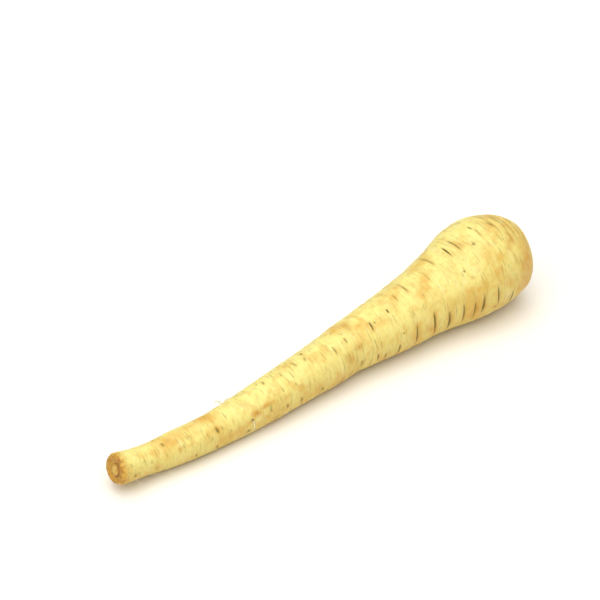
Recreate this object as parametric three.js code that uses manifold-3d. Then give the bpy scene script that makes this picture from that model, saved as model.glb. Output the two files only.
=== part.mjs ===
// A parsnip as it is sold: one tapering cream taproot with a sunken crown, a cut tail and rows of
// slits where its side roots grew, and the green stub of the leaf stalk that was cut off above it.
//
// The root lies on its side along X, tail at -X and crown at +X, and rests on the plane z = 0.
// Its origin is on that plane, below the middle of its bounding box. All sizes are in millimetres.
// An angle round the root is in degrees, counted from its top, +Z, towards its near side, -Y.

import * as THREE from "three";
import { mergeVertices } from "three/addons/utils/BufferGeometryUtils.js";
import Module from "manifold-3d";

const wasm = await Module();
wasm.setup();

const { clamp, degToRad, lerp, radToDeg, smoothstep } = THREE.MathUtils;

// Driving dimensions of the root

// Each station says how far along the root it is (x), how thick the root is there (radius), how far it
// bows to +Y (side), and how high its axis runs above the table (height). The tail tip is lifted,
// and between its thin end and its shoulder the root arches a little clear of the table.
const STATIONS = [
  { x: 0, radius: 7.9, side: 0.8, height: 12.9 },
  { x: 22, radius: 7.6, side: -0.8, height: 9.7 },
  { x: 39, radius: 8.7, side: -2.6, height: 9.5 },
  { x: 56, radius: 9.1, side: -3.5, height: 9.3 },
  { x: 75, radius: 10.2, side: -3.5, height: 9.7 },
  { x: 95, radius: 11.3, side: -3.4, height: 11.3 },
  { x: 116, radius: 12.1, side: -2.6, height: 12.6 },
  { x: 138, radius: 13.3, side: -1.7, height: 14.2 },
  { x: 148, radius: 13.7, side: -0.8, height: 15.0 },
  { x: 160, radius: 14.9, side: -1.2, height: 15.8 },
  { x: 181, radius: 17.0, side: -1.3, height: 17.6 },
  { x: 201, radius: 18.9, side: -0.8, height: 19.4 },
  { x: 217, radius: 22.0, side: -1.3, height: 22.0 },
  { x: 231, radius: 25.2, side: -1.2, height: 24.1 },
  { x: 243, radius: 26.0, side: -0.9, height: 24.9 },
  { x: 268, radius: 26.0, side: -1.7, height: 24.4 },
];
const SIDES = 36; // facets round the root

// The cross-section isn't a true circle: shares of the radius, by how often they repeat round it.
const OVAL = 0.012;
const THREE_LOBES = 0.01;
const OVAL_START = 0.9; // radians round the tail at which the oval is widest
const THREE_LOBES_START = 2.2;
const LOBE_TWIST = 0.021; // radians of turn for each millimetre along the root

// The cut tail: a disc tilted back with the lifted tip, its dried skin rolled over the edge, and the
// woody core standing up inside a shrunken ring.
const TAIL_TILT = 0.22; // slope of the cut face, millimetres along for each millimetre up
const TAIL_TILT_RUN = 26; // how far along the root that slope dies away
const TAIL_FACE = [
  // x and radius of each ring from the middle of the cut face to the edge
  [2.4, 0],
  [2.1, 1.6],
  [2.4, 2.6],
  [3.3, 3.3],
  [2.9, 4.3],
  [1.8, 5.6],
  [2.2, 6.7],
];
const TAIL_ROLL = 4.2; // where the rolled edge meets the side of the root

// The shoulder rounds over on an ellipse to the rim of the sunken crown.
const SHOULDER_X = 240;
const SHOULDER_RINGS = 8;
const RIM_X = 268.5;
const RIM_RADIUS = 12.8;
const RIM_WAVE = 0.9; // how far the rim rises and falls round the crown
const RIM_WAVES = [
  // the waves it is made of, each with its share, how many there are in a turn, and its start in radians
  { share: 0.5, count: 2, start: 0.6 },
  { share: 0.3, count: 3, start: 0 },
];

// Inside the rim: a deep narrow groove, then the domed cushion with a socket for the leaf stalk.
const CROWN = [
  // x from the rim and radius of each ring, from the rim to the middle
  [0.0, 12.2],
  [-0.8, 11.5],
  [-4.0, 10.9],
  [-7.2, 10.4],
  [-8.4, 9.7],
  [-7.0, 9.0],
  [-4.6, 8.6],
  [-3.0, 7.6],
  [-2.1, 6.3],
  [-1.7, 5.2],
  [-2.4, 4.6],
  [-5.4, 4.5],
  [-5.4, 0],
];
const GROOVE_RADIUS = 9.7;

// Crescent scars of the old leaf bases, set round the cushion by the golden angle.
const LEAF_SCARS = 7;
const GOLDEN_ANGLE = 137.5;
const FIRST_SCAR = { x: -1.8, radius: 5.9 }; // x from the rim
const LAST_SCAR = { x: -3.4, radius: 8.0 };
const SCAR = { halfLength: 2.6, halfThickness: 0.55, halfHeight: 1.1 };

// Creases run round the root, closer together where it is thin, and deepest at the rows of slits.
const FIRST_CREASE = 8.5;
const CREASE_GAP = 3.4;
const CREASE_GAP_SHARE = 0.165; // extra gap for each millimetre of radius
const CREASE_GAP_SPREAD = 0.28; // share by which one gap differs from the next
const CREASE_DEPTH = 0.14;
const CREASE_DEPTH_SHARE = 0.016; // extra depth for each millimetre of radius
const SHALLOWEST_CREASE = 0.5; // share of that depth; the deepest has 1 more
const CREASE_BETWEEN_ROWS = 0.3; // share of the depth that is left between the rows
const CREASE_WORN_OFF = 0.7; // share of the depth that is missing at the very bottom

// Four rows of slits, where the side roots broke through the skin, wander along the root.
const ROWS = [8, 98, 188, 276];
const ROW_WANDER = 13; // degrees to either side of the row
const ROW_WANDER_RATE = 0.045; // radians of its wave for each millimetre along the root
const ROW_PHASE = 2.1; // radians of that wave from one row to the next
const ROW_HALF_WIDTH = 34; // degrees over which a crease deepens towards a row

// The slits of the two rows that face up and to the near side: x, angle of the middle, and length.
const NEAR_SLITS = [
  { x: 56, angle: 49, length: 2.9 },
  { x: 91, angle: -6, length: 3.0 },
  { x: 101, angle: 4, length: 3.4 },
  { x: 110.7, angle: -1, length: 4.4 },
  { x: 118.5, angle: -16, length: 2.4 },
  { x: 133, angle: 30, length: 3.6 },
  { x: 141.5, angle: 26, length: 2.8 },
  { x: 158, angle: 30, length: 4.2 },
  { x: 170.3, angle: 21, length: 2.4 },
  { x: 178.5, angle: 9, length: 5.2 },
  { x: 186.5, angle: 2, length: 7.6 },
  { x: 200.5, angle: 7, length: 7.8 },
  { x: 208.3, angle: -12, length: 9.5 },
  { x: 218, angle: -2, length: 8.6 },
  { x: 223, angle: 0, length: 8.2 },
  { x: 237, angle: 5, length: 6.0 },
  { x: 42.5, angle: 108, length: 2.4 },
  { x: 54.5, angle: 110, length: 2.8 },
  { x: 75.8, angle: 74, length: 2.0 },
  { x: 97.5, angle: 92, length: 2.6 },
  { x: 106.5, angle: 98, length: 3.2 },
  { x: 120.5, angle: 104, length: 3.0 },
  { x: 147, angle: 99, length: 4.2 },
  { x: 157, angle: 101, length: 4.4 },
  { x: 162, angle: 111, length: 6.0 },
  { x: 171, angle: 112, length: 8.6 },
  { x: 182, angle: 94, length: 11.5 },
  { x: 193.7, angle: 92, length: 13.5 },
  { x: 203, angle: 99, length: 11.8 },
  { x: 212, angle: 99, length: 11.8 },
  { x: 218.5, angle: 103, length: 11.4 },
  { x: 223.5, angle: 97, length: 11.8 },
  { x: 232.3, angle: 91, length: 6.2 },
];

// The two rows underneath and behind keep the same habit, and are spaced by a formula.
const FAR_ROWS = [2, 3];
const FIRST_FAR_SLIT = 24;
const FAR_SLIT_GAP = 4.2;
const FAR_SLIT_GAP_SHARE = 0.3; // extra gap for each millimetre of radius
const FAR_SLIT_LENGTH_SHARE = 0.4; // length for each millimetre of radius
const FAR_SLIT_SPREAD = 9; // degrees from one slit of a row to the next
const SHORTEST_FAR_SLIT = 0.6; // share of the usual length
const FAR_SLIT_LENGTH_SPREAD = 0.8; // how much more than that share the longest has
const CLOSEST_FAR_SLITS = 0.7; // share of the usual gap
const FAR_SLIT_GAP_SPREAD = 0.6; // how much more than that share the widest gap has
const TABLE_CLEARANCE = 4; // no slit is made lower than this, so that the resting flats stay whole

// How wide and deep a slit is, with the extra for each millimetre of its length.
const SLIT_HALF_WIDTH = 0.26;
const SLIT_HALF_WIDTH_SHARE = 0.022;
const SLIT_DEPTH = 0.45;
const SLIT_DEPTH_SHARE = 0.07;

// The leaf stalk's stub: a short channelled stalk with a hollow, off-centre cut end and the tip of the
// next young stalk inside it. It stands in the crown's socket with a small gap all round.
const STUB_SIDES = 24;
const STUB_OUTSIDE = [
  // x from the rim and radius, from the middle of the foot up the outside to the lip
  [-5.1, 0],
  [-5.1, 4.1],
  [-2.6, 4.2],
  [-1.1, 4.1],
  [0.6, 3.5],
  [2.8, 3.15],
  [4.4, 3.15],
  [5.2, 2.9],
];
const STUB_INSIDE = [
  // x from the rim and radius, down the hollow and up the young stalk in it
  [4.9, 2.2],
  [3.4, 1.8],
  [1.9, 1.5],
  [1.8, 0.95],
  [3.2, 0.85],
  [3.7, 0.5],
  [3.9, 0],
];
const STUB_TIP = 5.2; // x from the rim
const STUB_BEND = -1.5; // x from the rim, where the stalk starts to lean
const STUB_LEAN = { side: -1.5, height: -1.1 }; // how far its tip leans to +Y and +Z
const STUB_LEAN_POWER = 1.5; // how much faster it leans towards its tip than near its bend
const STUB_CHANNEL = 0.28; // depth of the channel along its upper side
const STUB_CHANNEL_POWER = 3; // how narrow that channel is
const HOLLOW_SHIFT = 0.45; // how far the hollow sits off the stalk's middle, towards its top

// A slit or a scar is a pointed pod with this many facets round it and from end to end.
const POD_FACETS = 4;

// Points that are closer together than this are one point.
const SAME_POINT = 1e-3;

// Colours and roughness
const SKIN = { color: 0xe9cf86, roughness: 0.55, metalness: 0 };
const STALK = { color: 0xa9c23c, roughness: 0.45, metalness: 0 };

// A number from 0 to 1 that jumps about with i and is the same every time, one series for each salt.
const jitter = (i, salt) => (i * 0.6180339887 + salt * 0.7548776662) % 1;

// One column of the stations at x, on a smooth curve through all of them and level past the ends.
function along(column, x) {
  let i = 0;
  while (i < STATIONS.length - 2 && x > STATIONS[i + 1].x) i += 1;
  const [a, b] = [STATIONS[i], STATIONS[i + 1]];
  const slope = (k) => {
    const before = STATIONS[Math.max(k - 1, 0)];
    const after = STATIONS[Math.min(k + 1, STATIONS.length - 1)];
    return (after[column] - before[column]) / (after.x - before.x);
  };
  const run = b.x - a.x;
  const t = clamp((x - a.x) / run, 0, 1);
  const [t2, t3] = [t ** 2, t ** 3];
  return (
    (2 * t3 - 3 * t2 + 1) * a[column] +
    (t3 - 2 * t2 + t) * run * slope(i) +
    (3 * t2 - 2 * t3) * b[column] +
    (t3 - t2) * run * slope(i + 1)
  );
}

// The middle of a row of slits at x, in radians.
const rowAngle = (row, x) =>
  degToRad(ROWS[row] + ROW_WANDER * Math.sin(x * ROW_WANDER_RATE + row * ROW_PHASE));

// How near an angle in radians is to a row at x: 1 on the row, falling smoothly to 0 away from it.
function nearRow(x, angle) {
  const shares = ROWS.map((_, row) => {
    const apart = angle - rowAngle(row, x);
    const away = Math.abs(Math.atan2(Math.sin(apart), Math.cos(apart)));
    return 1 - away / degToRad(ROW_HALF_WIDTH);
  });
  return smoothstep(Math.max(...shares), 0, 1);
}

// The point at x, a distance and an angle in radians from the root's axis. A point under the table
// moves up to it, which gives the root its two small flats to rest on.
function place(x, distance, angle) {
  const across = distance * Math.cos(angle);
  const slope = TAIL_TILT * (1 - clamp(x / TAIL_TILT_RUN, 0, 1)) ** 2;
  return [
    x + slope * across,
    along("side", x) - distance * Math.sin(angle),
    Math.max(0, along("height", x) + across),
  ];
}

// How far the skin stands from the axis at x, where the plain radius would be r.
function lobed(x, r, angle) {
  const turn = LOBE_TWIST * x;
  const oval = OVAL * Math.cos(2 * angle + OVAL_START - turn);
  const lobes = THREE_LOBES * Math.cos(3 * angle + THREE_LOBES_START + turn);
  return r * (1 + oval + lobes);
}

// The creases up to the shoulder, each at its own depth, with a crest between one and the next.
function creaseRings() {
  const list = [];
  let x = FIRST_CREASE;
  for (let i = 0; x < SHOULDER_X; i += 1) {
    const radius = along("radius", x);
    const depth = (CREASE_DEPTH + CREASE_DEPTH_SHARE * radius) * (SHALLOWEST_CREASE + jitter(i, 2));
    const gap = CREASE_GAP + CREASE_GAP_SHARE * radius;
    const next = x + gap * (1 + CREASE_GAP_SPREAD * (2 * jitter(i, 1) - 1));
    const crest = (x + next) / 2;
    list.push({ x, radius, depth });
    if (next < SHOULDER_X) list.push({ x: crest, radius: along("radius", crest) });
    x = next;
  }
  return list;
}

// The rings over the shoulder, from its widest place to the rim, every second one in a shallow crease.
function shoulderRings() {
  const widest = along("radius", SHOULDER_X);
  return Array.from({ length: SHOULDER_RINGS + 1 }, (_, k) => {
    const turn = (k / SHOULDER_RINGS) * (Math.PI / 2);
    return {
      x: lerp(SHOULDER_X, RIM_X, Math.sin(turn)),
      radius: lerp(RIM_RADIUS, widest, Math.cos(turn)),
      depth: k % 2 === 0 ? 0 : CREASE_DEPTH + CREASE_DEPTH_SHARE * widest,
    };
  });
}

// The rings that the skin passes through, from the middle of the tail to the middle of the crown.
function skinRings() {
  return [
    ...TAIL_FACE.map(([x, radius]) => ({ x, radius })),
    { x: TAIL_ROLL, radius: along("radius", TAIL_ROLL) },
    ...creaseRings(),
    ...shoulderRings(),
    ...CROWN.map(([x, radius]) => ({ x: RIM_X + x, radius })),
  ];
}

// A point of the skin: its ring, with the lobes, the ring's crease and the wave of the rim.
function skinPoint({ x, radius, depth = 0 }, angle) {
  const underneath = (1 - Math.cos(angle)) / 2; // 1 at the bottom, where the root rests
  const share = lerp(CREASE_BETWEEN_ROWS, 1, nearRow(x, angle));
  const crease = depth * share * (1 - CREASE_WORN_OFF * underneath ** 4);
  const nearRim = smoothstep(x, SHOULDER_X, RIM_X) * smoothstep(radius, GROOVE_RADIUS, RIM_RADIUS);
  const waves = RIM_WAVES.map(({ share: part, count, start }) => part * Math.cos(count * angle + start));
  const wave = waves.reduce((sum, height) => sum + height, 0);
  return place(x + RIM_WAVE * nearRim * wave, lobed(x, radius, angle) - crease, angle);
}

// A closed geometry of rings round an axis, shaped point by point: shape(ring, angle) gives the place
// of each point. The first and last ring have no radius, so each is one point.
function shapedLathe(list, sides, shape) {
  const outline = list.map(({ x, radius }) => new THREE.Vector2(radius, x));
  const geometry = new THREE.LatheGeometry(outline, sides);
  const position = geometry.getAttribute("position");
  for (let i = 0; i < position.count; i += 1) {
    const ring = list[i % list.length];
    const side = Math.floor(i / list.length) % sides;
    const angle = ring.radius === 0 ? 0 : (side / sides) * 2 * Math.PI;
    position.setXYZ(i, ...shape(ring, angle));
  }
  return geometry;
}

// A geometry as a solid that can be joined and cut.
function solidOf(geometry) {
  const bare = new THREE.BufferGeometry();
  bare.setIndex(geometry.getIndex());
  bare.setAttribute("position", geometry.getAttribute("position"));
  const merged = mergeVertices(bare, SAME_POINT);
  const mesh = new wasm.Mesh({
    numProp: 3,
    vertProperties: merged.getAttribute("position").array,
    triVerts: new Uint32Array(merged.getIndex().array),
  });
  return new wasm.Manifold(mesh);
}

// A solid as a named mesh of the given material.
function meshOf(solid, name, finish) {
  const { vertProperties, triVerts } = solid.getMesh();
  const geometry = new THREE.BufferGeometry();
  geometry.setAttribute("position", new THREE.BufferAttribute(vertProperties, 3));
  geometry.setIndex(new THREE.BufferAttribute(triVerts, 1));
  geometry.computeVertexNormals();
  const mesh = new THREE.Mesh(geometry, new THREE.MeshStandardMaterial(finish));
  mesh.name = name;
  return mesh;
}

// A pointed pod that follows the root's curve. It is centred at x, a radius and an angle in radians
// from the axis, and reaches its half sizes along the root, round it and out from it.
function pod({ x, radius, angle, halfAlong, halfRound, halfOut }) {
  const geometry = new THREE.SphereGeometry(1, POD_FACETS, POD_FACETS);
  const position = geometry.getAttribute("position");
  for (let i = 0; i < position.count; i += 1) {
    const turned = angle + (position.getY(i) * halfRound) / radius;
    const out = lobed(x, radius, turned) + position.getX(i) * halfOut;
    position.setXYZ(i, ...place(x + position.getZ(i) * halfAlong, out, turned));
  }
  return solidOf(geometry);
}

// The slits of the far rows, apart from those so low that they would cut the resting flats.
function farSlits() {
  return FAR_ROWS.flatMap((row) => {
    const list = [];
    let x = FIRST_FAR_SLIT;
    for (let i = 0; x < SHOULDER_X; i += 1) {
      const radius = along("radius", x);
      const angle = rowAngle(row, x) + degToRad(FAR_SLIT_SPREAD) * (jitter(i, row) - 0.5);
      const share = SHORTEST_FAR_SLIT + FAR_SLIT_LENGTH_SPREAD * jitter(i, row + 3);
      const length = FAR_SLIT_LENGTH_SHARE * radius * share;
      if (along("height", x) + radius * Math.cos(angle) > TABLE_CLEARANCE) {
        list.push({ x, angle: radToDeg(angle), length });
      }
      const gap = FAR_SLIT_GAP + FAR_SLIT_GAP_SHARE * radius;
      x += gap * (CLOSEST_FAR_SLITS + FAR_SLIT_GAP_SPREAD * jitter(i, row + 5));
    }
    return list;
  });
}

function slitCutter({ x, angle, length }) {
  return pod({
    x,
    radius: along("radius", x),
    angle: degToRad(angle),
    halfAlong: SLIT_HALF_WIDTH + SLIT_HALF_WIDTH_SHARE * length,
    halfRound: length / 2,
    halfOut: SLIT_DEPTH + SLIT_DEPTH_SHARE * length,
  });
}

// A scar stands up from the cushion as a short curved ridge.
function leafScar(i) {
  const share = i / (LEAF_SCARS - 1);
  return pod({
    x: RIM_X + lerp(FIRST_SCAR.x, LAST_SCAR.x, share),
    radius: lerp(FIRST_SCAR.radius, LAST_SCAR.radius, share),
    angle: degToRad(GOLDEN_ANGLE * i),
    halfAlong: SCAR.halfHeight,
    halfRound: SCAR.halfLength,
    halfOut: SCAR.halfThickness,
  });
}

function taproot() {
  const skin = solidOf(shapedLathe(skinRings(), SIDES, skinPoint));
  const scars = Array.from({ length: LEAF_SCARS }, (_, i) => leafScar(i));
  const cutters = [...NEAR_SLITS, ...farSlits()].map(slitCutter);
  return wasm.Manifold.union([skin, ...scars]).subtract(wasm.Manifold.union(cutters));
}

function leafStalkStub() {
  const list = [
    ...STUB_OUTSIDE.map(([x, radius]) => ({ x, radius, channel: STUB_CHANNEL, shift: 0 })),
    ...STUB_INSIDE.map(([x, radius]) => ({ x, radius, channel: 0, shift: HOLLOW_SHIFT })),
  ];
  const shape = ({ x, radius, channel, shift }, angle) => {
    const bent = clamp((x - STUB_BEND) / (STUB_TIP - STUB_BEND), 0, 1);
    const lean = bent ** STUB_LEAN_POWER;
    const out = radius - channel * bent * Math.max(0, Math.cos(angle)) ** STUB_CHANNEL_POWER;
    return [
      RIM_X + x,
      along("side", RIM_X + x) - out * Math.sin(angle) + STUB_LEAN.side * lean,
      along("height", RIM_X + x) + out * Math.cos(angle) + STUB_LEAN.height * lean + shift,
    ];
  };
  return solidOf(shapedLathe(list, STUB_SIDES, shape));
}

// The parsnip, moved so that its origin is on the table below the middle of its bounding box.
const parsnip = new THREE.Group();
parsnip.add(meshOf(taproot(), "taproot", SKIN));
parsnip.add(meshOf(leafStalkStub(), "leaf_stalk_stub", STALK));
const middle = new THREE.Box3().setFromObject(parsnip).getCenter(new THREE.Vector3());
parsnip.position.set(-middle.x, -middle.y, 0);

export default parsnip;
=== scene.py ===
"""A parsnip on a pale table: the fine skin, cut tail, crown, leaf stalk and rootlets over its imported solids.

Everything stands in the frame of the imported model, in metres with +Z up. The root lies along X, with its
tail at -X and its crown at +X. Lengths in the tables below are millimetres from the tail, as a grower
would measure them, and an angle round the root is in degrees from its top towards its near side, -Y.
"""

from __future__ import annotations

import logging
import math
from dataclasses import dataclass
from enum import Enum

import bmesh
import bpy
import numpy as np
from mathutils import Matrix, Vector, noise

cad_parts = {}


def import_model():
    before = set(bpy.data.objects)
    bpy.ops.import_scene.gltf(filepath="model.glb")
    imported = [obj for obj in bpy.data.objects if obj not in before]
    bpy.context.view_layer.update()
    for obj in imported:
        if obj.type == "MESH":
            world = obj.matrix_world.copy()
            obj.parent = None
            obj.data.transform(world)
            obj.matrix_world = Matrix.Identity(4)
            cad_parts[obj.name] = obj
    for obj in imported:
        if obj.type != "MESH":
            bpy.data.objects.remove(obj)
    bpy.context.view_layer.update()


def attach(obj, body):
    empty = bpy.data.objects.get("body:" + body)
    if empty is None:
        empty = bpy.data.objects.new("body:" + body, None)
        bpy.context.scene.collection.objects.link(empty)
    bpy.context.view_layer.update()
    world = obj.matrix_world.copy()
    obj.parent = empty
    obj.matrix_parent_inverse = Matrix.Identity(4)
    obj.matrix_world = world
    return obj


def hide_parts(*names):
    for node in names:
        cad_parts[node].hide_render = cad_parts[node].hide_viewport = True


LOG = logging.getLogger("parsnip")
MM = 0.001
RANDOM_SEED = 11
JITTER_STEP = 0.6180339887  # from one number of a series to the next
JITTER_START = 0.7548776662  # from one series to the next
NOISE_SHIFT = (1.0, 1.7, -0.6)
SAME_POINT = 1e-4
TINY = 1e-6

Colour = tuple[float, float, float, float]
Outline = list[tuple[float, float]]
Socket = bpy.types.NodeSocket


class Column(Enum):
    """What a station of the root says besides where it is."""

    RADIUS = 1
    SIDE = 2
    HEIGHT = 3


class Tone(Enum):
    """How a small mark on the skin is coloured: its share of olive and its share of gold."""

    FAINT = (0.3, 0.25)
    OLIVE = (0.5, 0.3)
    BROWN = (0.62, 0.6)
    DARK = (0.85, 0.4)
    ORANGE = (0.1, 0.8)
    RUSTY = (0.2, 0.9)


class Series(Enum):
    """What a series of jumping numbers varies. The far rows of slits count on from theirs."""

    FAR_SLIT_ANGLE = 0
    CREASE_GAP = 1
    CREASE_DEPTH = 2
    FAR_SLIT_LENGTH = 3
    FAR_SLIT_GAP = 5
    SLIT_DARKNESS = 6
    SLIT_HALO = 7
    SLIT_BOW = 9
    MARK_SLANT = 10
    SLIT_SLANT = 12
    SLIT_DARKEST = 14


def linear(colour: str) -> Colour:
    """Turns a colour of six hex digits into the linear values that a socket takes.

    Args:
        colour: Red, green and blue as two hex digits each.

    Returns:
        Linear red, green and blue, and a full alpha.
    """
    parts = [int(colour[i : i + 2], 16) / 255 for i in (0, 2, 4)]
    red, green, blue = [p / 12.92 if p <= 0.04045 else ((p + 0.055) / 1.055) ** 2.4 for p in parts]
    return red, green, blue, 1.0


def smooth_share(value: np.ndarray, low: float, high: float) -> np.ndarray:
    """Gives 0 up to low and 1 from high on, with a smooth step between them.

    Args:
        value: The values to judge.
        low: Where the step starts.
        high: Where it ends.

    Returns:
        The share for each value.
    """
    share = np.clip((value - low) / (high - low), 0, 1)
    return share * share * (3 - 2 * share)


def bell(value: np.ndarray, width: float) -> np.ndarray:
    """Gives 1 where the value is zero, falling smoothly to almost nothing at twice the width."""
    return np.exp(-((value / width) ** 2))


def angle_from(middle: float | np.ndarray, angle: np.ndarray) -> np.ndarray:
    """Gives how far round each angle is from a middle one, at most half a turn either way, in radians."""
    apart = angle - middle
    return np.arctan2(np.sin(apart), np.cos(apart))


def jitter(i: int, series: Series, row: int = 0) -> float:
    """Gives a number from 0 to 1 that jumps about with i.

    Args:
        i: Which number of the series.
        series: What it varies.
        row: The row of slits that it is for, where each has a series of its own.

    Returns:
        The number, the same on every run.
    """
    return (i * JITTER_STEP + (series.value + row) * JITTER_START) % 1


def sway(i: int, series: Series, row: int = 0) -> float:
    """Gives the number that jitter does, from -0.5 to 0.5 instead."""
    return jitter(i, series, row) - 0.5


def soft_noise(points: np.ndarray, shift: float) -> np.ndarray:
    """Gives smooth noise at each point, between about -1 and 1 over about one unit of length.

    Args:
        points: One row for each point.
        shift: Moves the pattern, so that two fields differ.

    Returns:
        The noise for each point.
    """
    move = Vector([part * shift for part in NOISE_SHIFT])
    return np.array([noise.noise(Vector(point) + move) for point in points])


def rounded_chain(points: Outline, step: float, passes: int = 2) -> Outline:
    """Puts even small steps along a chain of points and rounds its corners, with both ends kept.

    Args:
        points: The corners of the chain.
        step: The length of a small step.
        passes: How many times the corners are softened.

    Returns:
        The points of the finer chain.
    """
    corners = np.array(points, float)
    runs = np.concatenate([[0], np.cumsum(np.linalg.norm(np.diff(corners, axis=0), axis=1))])
    marks = np.linspace(0, runs[-1], max(2, round(runs[-1] / step)) + 1)
    chain = np.stack([np.interp(marks, runs, corners[:, k]) for k in range(2)], axis=1)
    for _ in range(passes):
        chain[1:-1] = (chain[:-2] + 2 * chain[1:-1] + chain[2:]) / 4
    return [(float(a), float(b)) for a, b in chain]


def mesh_of(bm: bmesh.types.BMesh, name: str) -> bpy.types.Mesh:
    """Turns a bmesh into a mesh of the given name and frees it."""
    mesh = bpy.data.meshes.new(name)
    bm.to_mesh(mesh)
    bm.free()
    return mesh


def spun_mesh(name: str, chain: Outline, sides: int) -> bpy.types.Mesh:
    """Spins a chain of (x, radius) points about the X axis into a closed mesh, still in millimetres.

    Args:
        name: The name of the mesh.
        chain: The outline, from one point on the axis to another.
        sides: How many steps the turn has.

    Returns:
        The mesh, with its poles closed and its faces outwards.
    """
    bm = bmesh.new()
    verts = [bm.verts.new((x, 0, radius)) for x, radius in chain]
    edges = [bm.edges.new(pair) for pair in zip(verts, verts[1:])]
    bmesh.ops.spin(
        bm,
        geom=verts + edges,
        cent=(0, 0, 0),
        axis=(1, 0, 0),
        dvec=(0, 0, 0),
        angle=2 * math.pi,
        steps=sides,
        use_merge=True,
        use_duplicate=False,
    )
    bmesh.ops.remove_doubles(bm, verts=bm.verts[:], dist=SAME_POINT)
    bmesh.ops.recalc_face_normals(bm, faces=bm.faces[:])
    return mesh_of(bm, name)


def set_points(mesh: bpy.types.Mesh, points: np.ndarray) -> None:
    """Moves a mesh's vertices to new places."""
    mesh.vertices.foreach_set("co", points.astype(np.float32).ravel())
    mesh.update()


def set_attribute(mesh: bpy.types.Mesh, name: str, values: np.ndarray) -> None:
    """Keeps one number for each vertex of a mesh under a name that a material can read."""
    layer = mesh.attributes.new(name, "FLOAT", "POINT")
    layer.data.foreach_set("value", values.astype(np.float32))


def smooth_piece(name: str, mesh: bpy.types.Mesh, material: bpy.types.Material) -> bpy.types.Object:
    """Links a finished mesh into the scene as a smooth piece of one material.

    Args:
        name: The piece's name.
        mesh: Its mesh, already in place.
        material: Its finish.

    Returns:
        The new object, at the origin.
    """
    mesh.shade_smooth()
    mesh.materials.append(material)
    piece = bpy.data.objects.new(name, mesh)
    bpy.context.scene.collection.objects.link(piece)
    return piece


@dataclass(frozen=True)
class Places:
    """Where the vertices of a spun mesh are: along its axis, out from it, and round it in radians."""

    x: np.ndarray
    radius: np.ndarray
    angle: np.ndarray

    @classmethod
    def of_mesh(cls, mesh: bpy.types.Mesh) -> Places:
        """Reads them from a mesh that is spun about the X axis."""
        flat = np.zeros(len(mesh.vertices) * 3)
        mesh.vertices.foreach_get("co", flat)
        x, y, z = flat.reshape(-1, 3).T
        return cls(x, np.hypot(y, z), np.arctan2(-y, z))

    def points(self) -> np.ndarray:
        """Gives each place as a point that a pattern is read at, one row for each."""
        return np.stack([self.x, self.radius * np.sin(self.angle), self.radius * np.cos(self.angle)], axis=1)

    def underneath(self) -> np.ndarray:
        """Gives 0 at the top of the root and 1 where it rests."""
        return 0.5 - 0.5 * np.cos(self.angle)


@dataclass(frozen=True)
class Unevenness:
    """A soft unevenness of a surface, with its waves in a millimetre along and round the root."""

    along: float
    around: float
    shift: float
    height: float = 1.0
    height_share: float = 0.0  # extra height for each millimetre of radius

    def at(self, places: Places) -> np.ndarray:
        """Gives how far it raises each place."""
        pattern = soft_noise(places.points() * (self.along, self.around, self.around), self.shift)
        return pattern * (self.height + self.height_share * places.radius)


@dataclass(frozen=True)
class EndGrain:
    """How much of the rough and the fine unevenness shows on a cut or sunken end."""

    rough: float
    fine: float
    full_from: float  # the radius from which it shows in full, because the middle stays smooth


@dataclass(frozen=True)
class Slit:
    """A slit where a side root broke through the skin."""

    x: float
    angle: float
    length: float


@dataclass(frozen=True)
class Measure:
    """A measure of a slit: its start, what each millimetre of length adds, and what a low place adds."""

    start: float
    length_share: float
    low: float = 0.0


@dataclass(frozen=True)
class SlitLook:
    """How a slit looks from close by. Widths are shares of its half width and heights of its depth."""

    side_angle: float = 60  # degrees from the top past which slits gape more and are darker
    half_width: Measure = Measure(0.2, 0.014, 0.26)
    depth: Measure = Measure(0.45, 0.07)
    darkness: Measure = Measure(0.2, 0.014, 0.34)
    reach: float = 7.0  # millimetres along the root within which all of it lies
    half_length: float = 0.56  # share of its length
    bow: float = 0.7  # millimetres by which the most bowed one leaves a straight line
    slant: float = 0.3
    full_bow_length: float = 8.0  # length from which a slit bows in full
    end_power: float = 0.6
    cut: float = 0.66
    cut_depth: float = 0.8
    lip_place: float = 2.1
    lip: float = 1.2
    lip_height: float = 0.12  # millimetres
    stain: float = 0.9
    stain_spread: float = 0.2
    darkest_place: float = 0.8
    darkest: float = 0.45
    darkest_share: float = 0.2
    halo_length: float = 1.25
    halo_power: int = 4
    halo: float = 1.1  # millimetres along the root
    halo_share: float = 0.1  # extra for each millimetre of length
    halo_gold: float = 0.08
    halo_gold_spread: float = 0.22

    def of(self, slit: Slit, measure: Measure) -> float:
        """Gives one measure of a slit."""
        low = slit.angle > self.side_angle
        return measure.start + measure.length_share * slit.length + measure.low * low


@dataclass(frozen=True)
class Mark:
    """A shallow mark that runs round the skin from one angle to another."""

    x: float
    start: float
    end: float
    tone: Tone
    half_width: float = 0.55


@dataclass(frozen=True)
class Patch:
    """A soft golden patch of the skin: its middle, how far it reaches both ways, and how strong it is."""

    x: float
    angle: float
    half_along: float
    half_round: float
    strength: float


@dataclass(frozen=True)
class MarkLook:
    """How the marks and patches look from close by. Widths are shares of their half widths."""

    slant: float = 0.8  # millimetres
    width: float = 0.75
    gold: float = 0.8
    end_power: int = 4
    patch_along: float = 1.4
    patch_round: float = 1.25
    patch_waves: tuple[float, float, float] = (0.5, 0.3, 2.0)
    patch_shift: float = 88.6
    patch_raggedness: float = 0.35
    least_radius: float = 5.0  # the middle of the tail and of the crown have neither


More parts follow.
